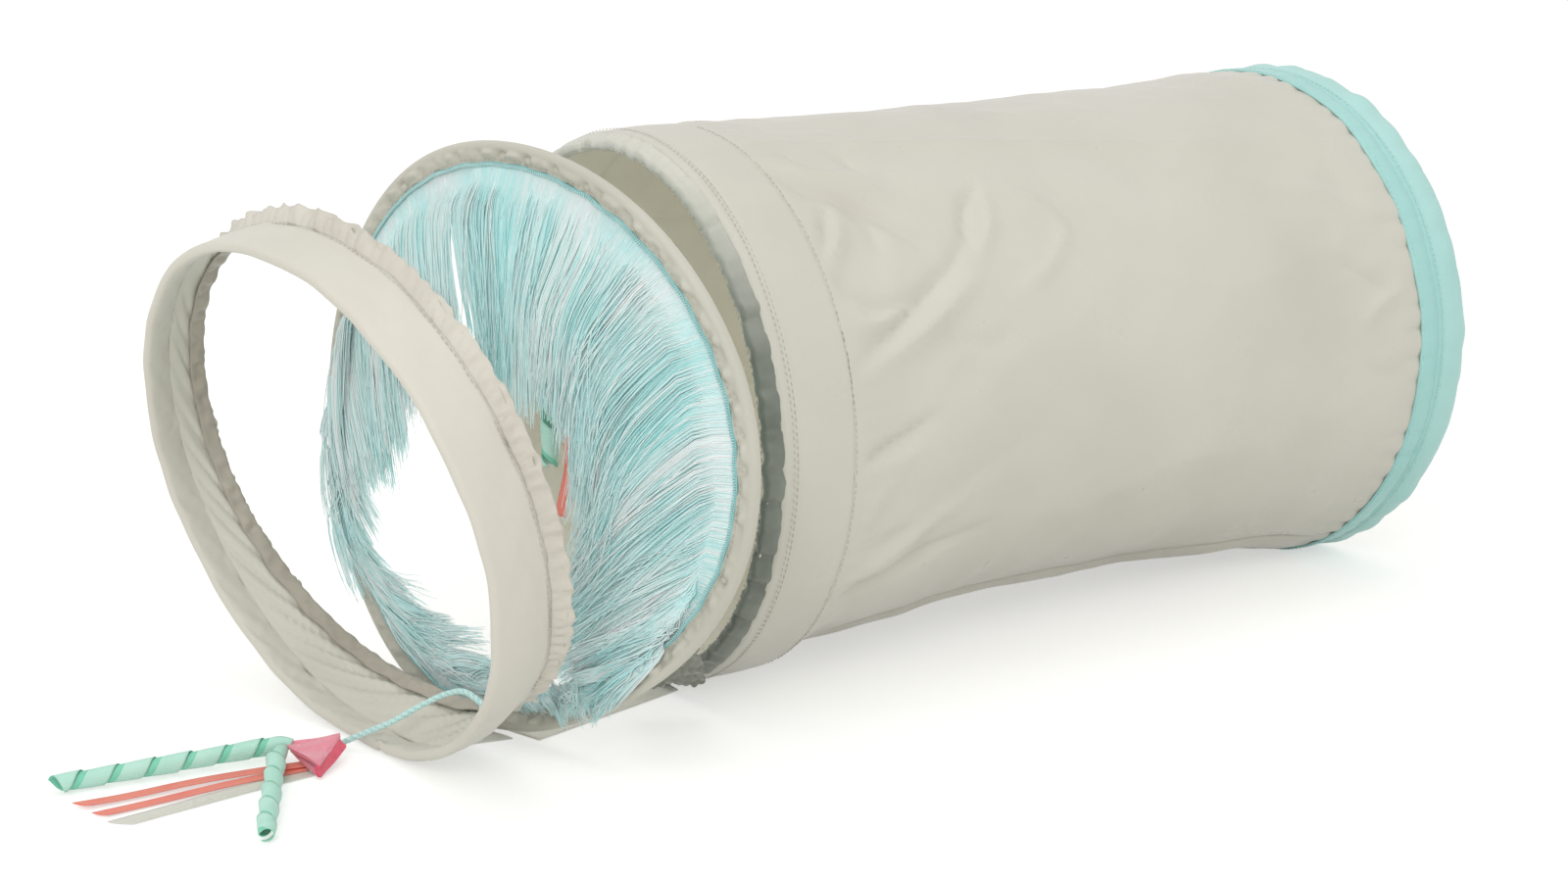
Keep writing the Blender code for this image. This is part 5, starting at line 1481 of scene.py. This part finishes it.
def curl_piece(name, ends, facing, turns, radius, width, cut, flare=0.05, edge=2):
    """A ribbon wound as a helix between two ends, its last end cut at a slant, one edge a little smaller."""
    a, b = np.asarray(ends[0], float), np.asarray(ends[1], float)
    axis = unit(b - a)
    sideways = unit(np.cross(axis, facing))
    first = np.cross(sideways, axis)
    slope = math.atan2(float(np.linalg.norm(b - a)) / turns, 2 * math.pi * radius)
    share, c = grid(np.linspace(0, 1, round(turns * 36) + 1), np.linspace(-0.5, 0.5, 13))
    place = share * (1 - cut * (0.5 + c) / turns)
    q = 2 * math.pi * turns * place
    swell_out = 1 + 0.03 * np.sin(q * 0.37) - 0.04 * (2 * c) ** 2 - flare * 2 * c
    turn = (q - width * c * math.sin(slope) / radius)[..., None]
    out = first * np.cos(turn) - sideways * np.sin(turn)
    run = a + (b - a) * place[..., None] + axis * (width * c * math.cos(slope))[..., None]
    points = (run + out * (radius * swell_out)[..., None])[:, ::-1]
    curl = grid_piece(name, points, [MINT_RIBBON, MINT_INSIDE, MINT_EDGE_PAINTED_SHADE], ring=False, thick=RIBBON_THICK)
    # One edge strip of the ribbon takes the deeper green copy: painted shade lines between the turns.
    for face in curl.data.polygons:
        if face.index % (points.shape[1] - 1) < edge:
            face.material_index = 2
    curl.modifiers["wall"].material_offset = 0
    return curl


def flat_ribbon(name, plan, width, look, lift, wave):
    """A ribbon that lies along the floor in a shallow wave, its end cut at a slant."""
    line = smooth_line([(x, y, 0.0) for x, y in plan], 60) + ORIGIN
    run = unit(np.gradient(line, axis=0))
    left = np.cross(UP, run)
    share = np.linspace(0, 1, 60)
    across = np.linspace(-0.5, 0.5, 7)
    rows = []
    for k in range(60):
        swing = 0.5 + 0.5 * math.sin(share[k] * 9.0 + RIBBON_SLANT * 3)
        rise = lift + wave * swing * (0.3 + 0.7 * share[k])
        tip = max(0.0, share[k] - 0.93) / 0.07
        for c in across:
            place = line[k] + left[k] * width * c + run[k] * RIBBON_SLANT * width * c * tip
            rows.append(place + UP * (rise + 0.0004 * (2 * c) ** 2))
    return grid_piece(name, np.reshape(rows, (60, 7, 3)), [look], ring=False, thick=RIBBON_THICK)


def felt_piece():
    """One felt wedge, folded along its near right side: two layers that taper to the same far left corner."""
    upper = [(-0.1826, -0.0203, 0.0064), (-0.1622, -0.0318, 0.0100), (-0.1806, -0.0496, 0.0058)] + ORIGIN
    lower = [(-0.1812, -0.0226, 0.0044), (-0.1622, -0.0372, 0.0064), (-0.1812, -0.0514, 0.0014)] + ORIGIN
    side = unit(np.cross(upper[2] - upper[1], UP))
    v = np.linspace(0, 1, 26)[:, None]
    rows, look = [], []
    for layer, down in ((upper, 0), (lower, 1)):
        edge = layer[1] * (1 - v) + layer[2] * v
        for u in np.linspace(0.0, 1.0, 16):
            share = 0.05 + 0.95 * (1 - u if down else u)
            line = layer[0] + (edge - layer[0]) * share
            dish = -0.0016 * np.sin(math.pi * v) * share * (1 - 0.6 * share)
            dish = dish + 0.0003 * np.sin(v * 9 + share * 7)
            rows.append(line + UP * dish * (0.4 if down else 1.0))
            look.append(0)
        if not down:
            for t in np.linspace(0.25, 0.75, 5):
                bulge = 0.0012 * math.sin(math.pi * t)
                both = edge * (1 - t) + (lower[1] * (1 - v) + lower[2] * v) * t
                rows.append(both + side * bulge)
                look.append(1)
    points = np.array(rows)
    felt_sheet = grid_piece("toy_felt_folded", points, [PINK_FELT, PINK_EDGE_PAINTED_SHADE], ring=False, thick=0.0014)
    wall = felt_sheet.modifiers["wall"]
    wall.offset, wall.material_offset, wall.material_offset_rim = 0.0, 0, 1
    across = points.shape[1] - 1
    # The fold's side rows and the cut edges take the deeper pink copy: painted shade.
    for face in felt_sheet.data.polygons:
        face.material_index = look[face.index // across]
    soft = felt_sheet.modifiers.new("soft_edge", "BEVEL")
    soft.width, soft.segments, soft.limit_method = 0.0003, 2, "ANGLE"
    return felt_sheet


def front_toy():
    """The toy on the front hoop's cord: knot, cord, felt, two curls and three flat ribbons."""
    route = smooth_line(CORD_PLACES, 220) + ORIGIN
    cord = braided_tube("toy_cord_braid", route, CORD_DIAMETER)
    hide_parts("toy_cord")
    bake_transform(cord)
    start = route[0] + unit(route[0] - route[3]) * 0.0026
    knot = knot_piece("toy_cord_knot_braid", start)
    finish_piece(knot, "front_hoop", "braided_cord", "toy_cord_knot")

    curl_z = CURL_RADIUS + RIBBON_THICK / 2 + 0.0004
    long_ends = [ORIGIN + (-0.1840, -0.0195, curl_z + 0.0020), ORIGIN + (-0.2780, -0.0048, curl_z)]
    long_curl = curl_piece(
        "toy_long_curl_ribbon", long_ends, UP, 6.3, CURL_RADIUS, 0.0128, cut=0.35, flare=0.09, edge=3
    )
    short_ends = [ORIGIN + (-0.1895, -0.0290, curl_z + 0.0018), ORIGIN + (-0.2290, -0.1040, curl_z)]
    short_curl = curl_piece(
        "toy_short_curl_ribbon", short_ends, UP, 5.4, CURL_RADIUS * 0.95, 0.0128, cut=0.35, flare=0.24, edge=3
    )
    coral_a = [-0.0345, -0.0310, -0.0282, -0.0272, -0.0262]
    coral_b = [-0.0375, -0.0368, -0.0375, -0.0378, -0.0384]
    pale = [-0.0420, -0.0440, -0.0468, -0.0485, -0.0506]
    coral_a = list(zip([-0.1800, -0.1995, -0.2334, -0.2550, -0.2735], coral_a, strict=True))
    coral_b = list(zip([-0.1800, -0.2051, -0.2335, -0.2520, -0.2700], coral_b, strict=True))
    pale = list(zip([-0.1800, -0.2055, -0.2332, -0.2500, -0.2665], pale, strict=True))
    coral_upper = flat_ribbon("toy_coral_ribbon_upper", coral_a, 0.0060, CORAL_RIBBON, 0.0014, 0.0007)
    coral_lower = flat_ribbon("toy_coral_ribbon_lower", coral_b, 0.0058, CORAL_RIBBON, 0.0008, 0.0004)
    pale_satin = flat_ribbon("toy_pale_satin_ribbon", pale, 0.0084, PALE_RIBBON, 0.0004, 0.0003)
    felt_sheet = felt_piece()
    finish_piece(felt_sheet, "front_toy", "pink_felt", "toy_felt")
    finish_piece(long_curl, "front_toy", "mint_ribbon", "toy_long_curl")
    finish_piece(short_curl, "front_toy", "mint_ribbon", "toy_short_curl")
    finish_piece(coral_upper, "front_toy", "coral_ribbon", "toy_coral_ribbon_a")
    finish_piece(coral_lower, "front_toy", "coral_ribbon", "toy_coral_ribbon_b")
    finish_piece(pale_satin, "front_toy", "pale_ribbon", "toy_pale_ribbon")


def hanging_toy():
    """The toy inside the fringed hoop: cord, knot, a curl and a flat ribbon."""
    side = -0.0225
    high = math.sqrt(1 - (side / fringe.wide) ** 2) * fringe.high - 0.0045
    top = fringe.place(side, high, BINDING_HALF + 0.0003 + 0.0008)
    low = top - UP * HANGING_CORD_LENGTH
    route = smooth_line([top, (top + low) / 2, low], 220)
    cord = braided_tube("hanging_cord_braid", route, HANGING_CORD_DIAMETER, twist=0.0030, sides=10)
    finish_piece(cord, "hanging_toy", "braided_cord", "hanging_cord")
    knot = knot_piece("hanging_knot_braid", low - UP * 0.0026)
    finish_piece(knot, "hanging_toy", "braided_cord", "hanging_knot")
    curl_top = low - UP * 0.0030 + fringe.side * 0.0066
    curl_ends = [curl_top, curl_top - UP * 0.0300]
    curl = curl_piece("hanging_curl_ribbon", curl_ends, -fringe.side, 1.7, 0.0036, 0.0120, cut=0.5)
    finish_piece(curl, "hanging_toy", "mint_ribbon", "hanging_curl")
    share = np.linspace(0, 1, 40)
    centre = (low - UP * 0.0050)[None] - UP * 0.044 * share[:, None]
    centre = centre - fringe.side * (0.0010 + 0.0034 * np.sin(math.pi * share) ** 1.2)[:, None]
    centre = centre + fringe.back * (0.0016 * np.sin(share * 5))[:, None]
    across = np.linspace(-0.5, 0.5, 7)
    rows = centre[:, None] + fringe.side * (across * 0.0062)[None, :, None]
    coral = grid_piece("hanging_coral_ribbon_strip", rows, [CORAL_RIBBON], ring=False, thick=RIBBON_THICK)
    finish_piece(coral, "hanging_toy", "coral_ribbon", "hanging_coral_ribbon")


front_toy()
hanging_toy()

# The other hoops' wires and sleeves stay as the solids are, with a look of steel
for stem in ("far", "fringe", "front"):
    for ending, look in (("_wire", WIRE_STEEL), ("_wire_sleeve", SLEEVE_STEEL)):
        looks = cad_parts[stem + ending].data.materials
        looks.clear()
        looks.append(look)


# Floor, light and camera

def floor_piece():
    """A pale floor: plain where it only takes and sheds light, softly lit where it is seen or mirrored."""
    corners = [(x * FLOOR_HALF, y * FLOOR_HALF, 0) for x, y in ((-1, -1), (1, -1), (1, 1), (-1, 1))]
    mesh = bpy.data.meshes.new("floor")
    mesh.from_pydata(corners, [], [(0, 1, 2, 3)])
    material = bpy.data.materials.new("floor")
    material.use_nodes = True
    tree = material.node_tree
    tree.nodes.clear()
    rays = add_node(tree, "ShaderNodeLightPath").outputs
    seen = rays["Is Camera Ray"]
    for kind in ("Is Glossy Ray", "Is Transmission Ray"):
        seen = add_node(tree, "ShaderNodeMath", {0: seen, 1: rays[kind]}, operation="MAXIMUM").outputs[0]
    plain = add_node(tree, "ShaderNodeBsdfDiffuse", {"Color": FLOOR_PLAIN}).outputs[0]
    bright = add_node(tree, "ShaderNodeBsdfDiffuse", {"Color": FLOOR_SEEN}).outputs[0]
    glow = add_node(tree, "ShaderNodeEmission", {"Color": FLOOR_GLOW, "Strength": FLOOR_GLOW_STRENGTH})
    lit = add_node(tree, "ShaderNodeAddShader", {0: bright, 1: glow.outputs[0]}).outputs[0]
    mix = add_node(tree, "ShaderNodeMixShader", {0: seen, 1: plain, 2: lit}).outputs[0]
    add_node(tree, "ShaderNodeOutputMaterial", {0: mix})
    piece_from("floor", mesh, [material])


def world_light():
    """White for the camera, and a soft even light for everything else."""
    world = bpy.data.worlds.new("studio")
    bpy.context.scene.world = world
    world.use_nodes = True
    tree = world.node_tree
    tree.nodes.clear()
    seen = add_node(tree, "ShaderNodeLightPath").outputs["Is Camera Ray"]
    soft = add_node(tree, "ShaderNodeBackground", {"Color": STUDIO_AIR, "Strength": STUDIO_STRENGTH})
    white = add_node(tree, "ShaderNodeBackground", {"Color": WHITE, "Strength": 1.0})
    mix = add_node(tree, "ShaderNodeMixShader", {0: seen, 1: soft.outputs[0], 2: white.outputs[0]})
    add_node(tree, "ShaderNodeOutputWorld", {0: mix.outputs[0]})


def area_light(name, place, target, size, power):
    light = bpy.data.lights.new(name, "AREA")
    light.shape, light.size, light.energy = "SQUARE", size, power
    item = bpy.data.objects.new(name, light)
    item.location = place
    item.rotation_euler = (Vector(target) - Vector(place)).to_track_quat("-Z", "Y").to_euler()
    bpy.context.scene.collection.objects.link(item)


floor_piece()
world_light()
area_light("top_softbox", place=(-0.15, -0.05, 1.9), target=(0.0, 0.0, 0.1), size=1.2, power=5.0)
area_light("left_softbox", place=(-1.5, -1.5, 1.3), target=(-0.1, 0.0, 0.1), size=0.8, power=11.0)

camera_data = bpy.data.cameras.new("camera")
camera_data.lens = CAMERA_LENS
camera_data.sensor_width = SENSOR_WIDTH
camera_data.clip_start, camera_data.clip_end = 0.05, 30.0
camera = bpy.data.objects.new("camera", camera_data)
camera.location = CAMERA_PLACE
camera.rotation_euler = tuple(math.radians(t) for t in CAMERA_TURN)
bpy.context.scene.collection.objects.link(camera)
bpy.context.scene.camera = camera
bpy.context.scene.view_settings.view_transform = "Standard"
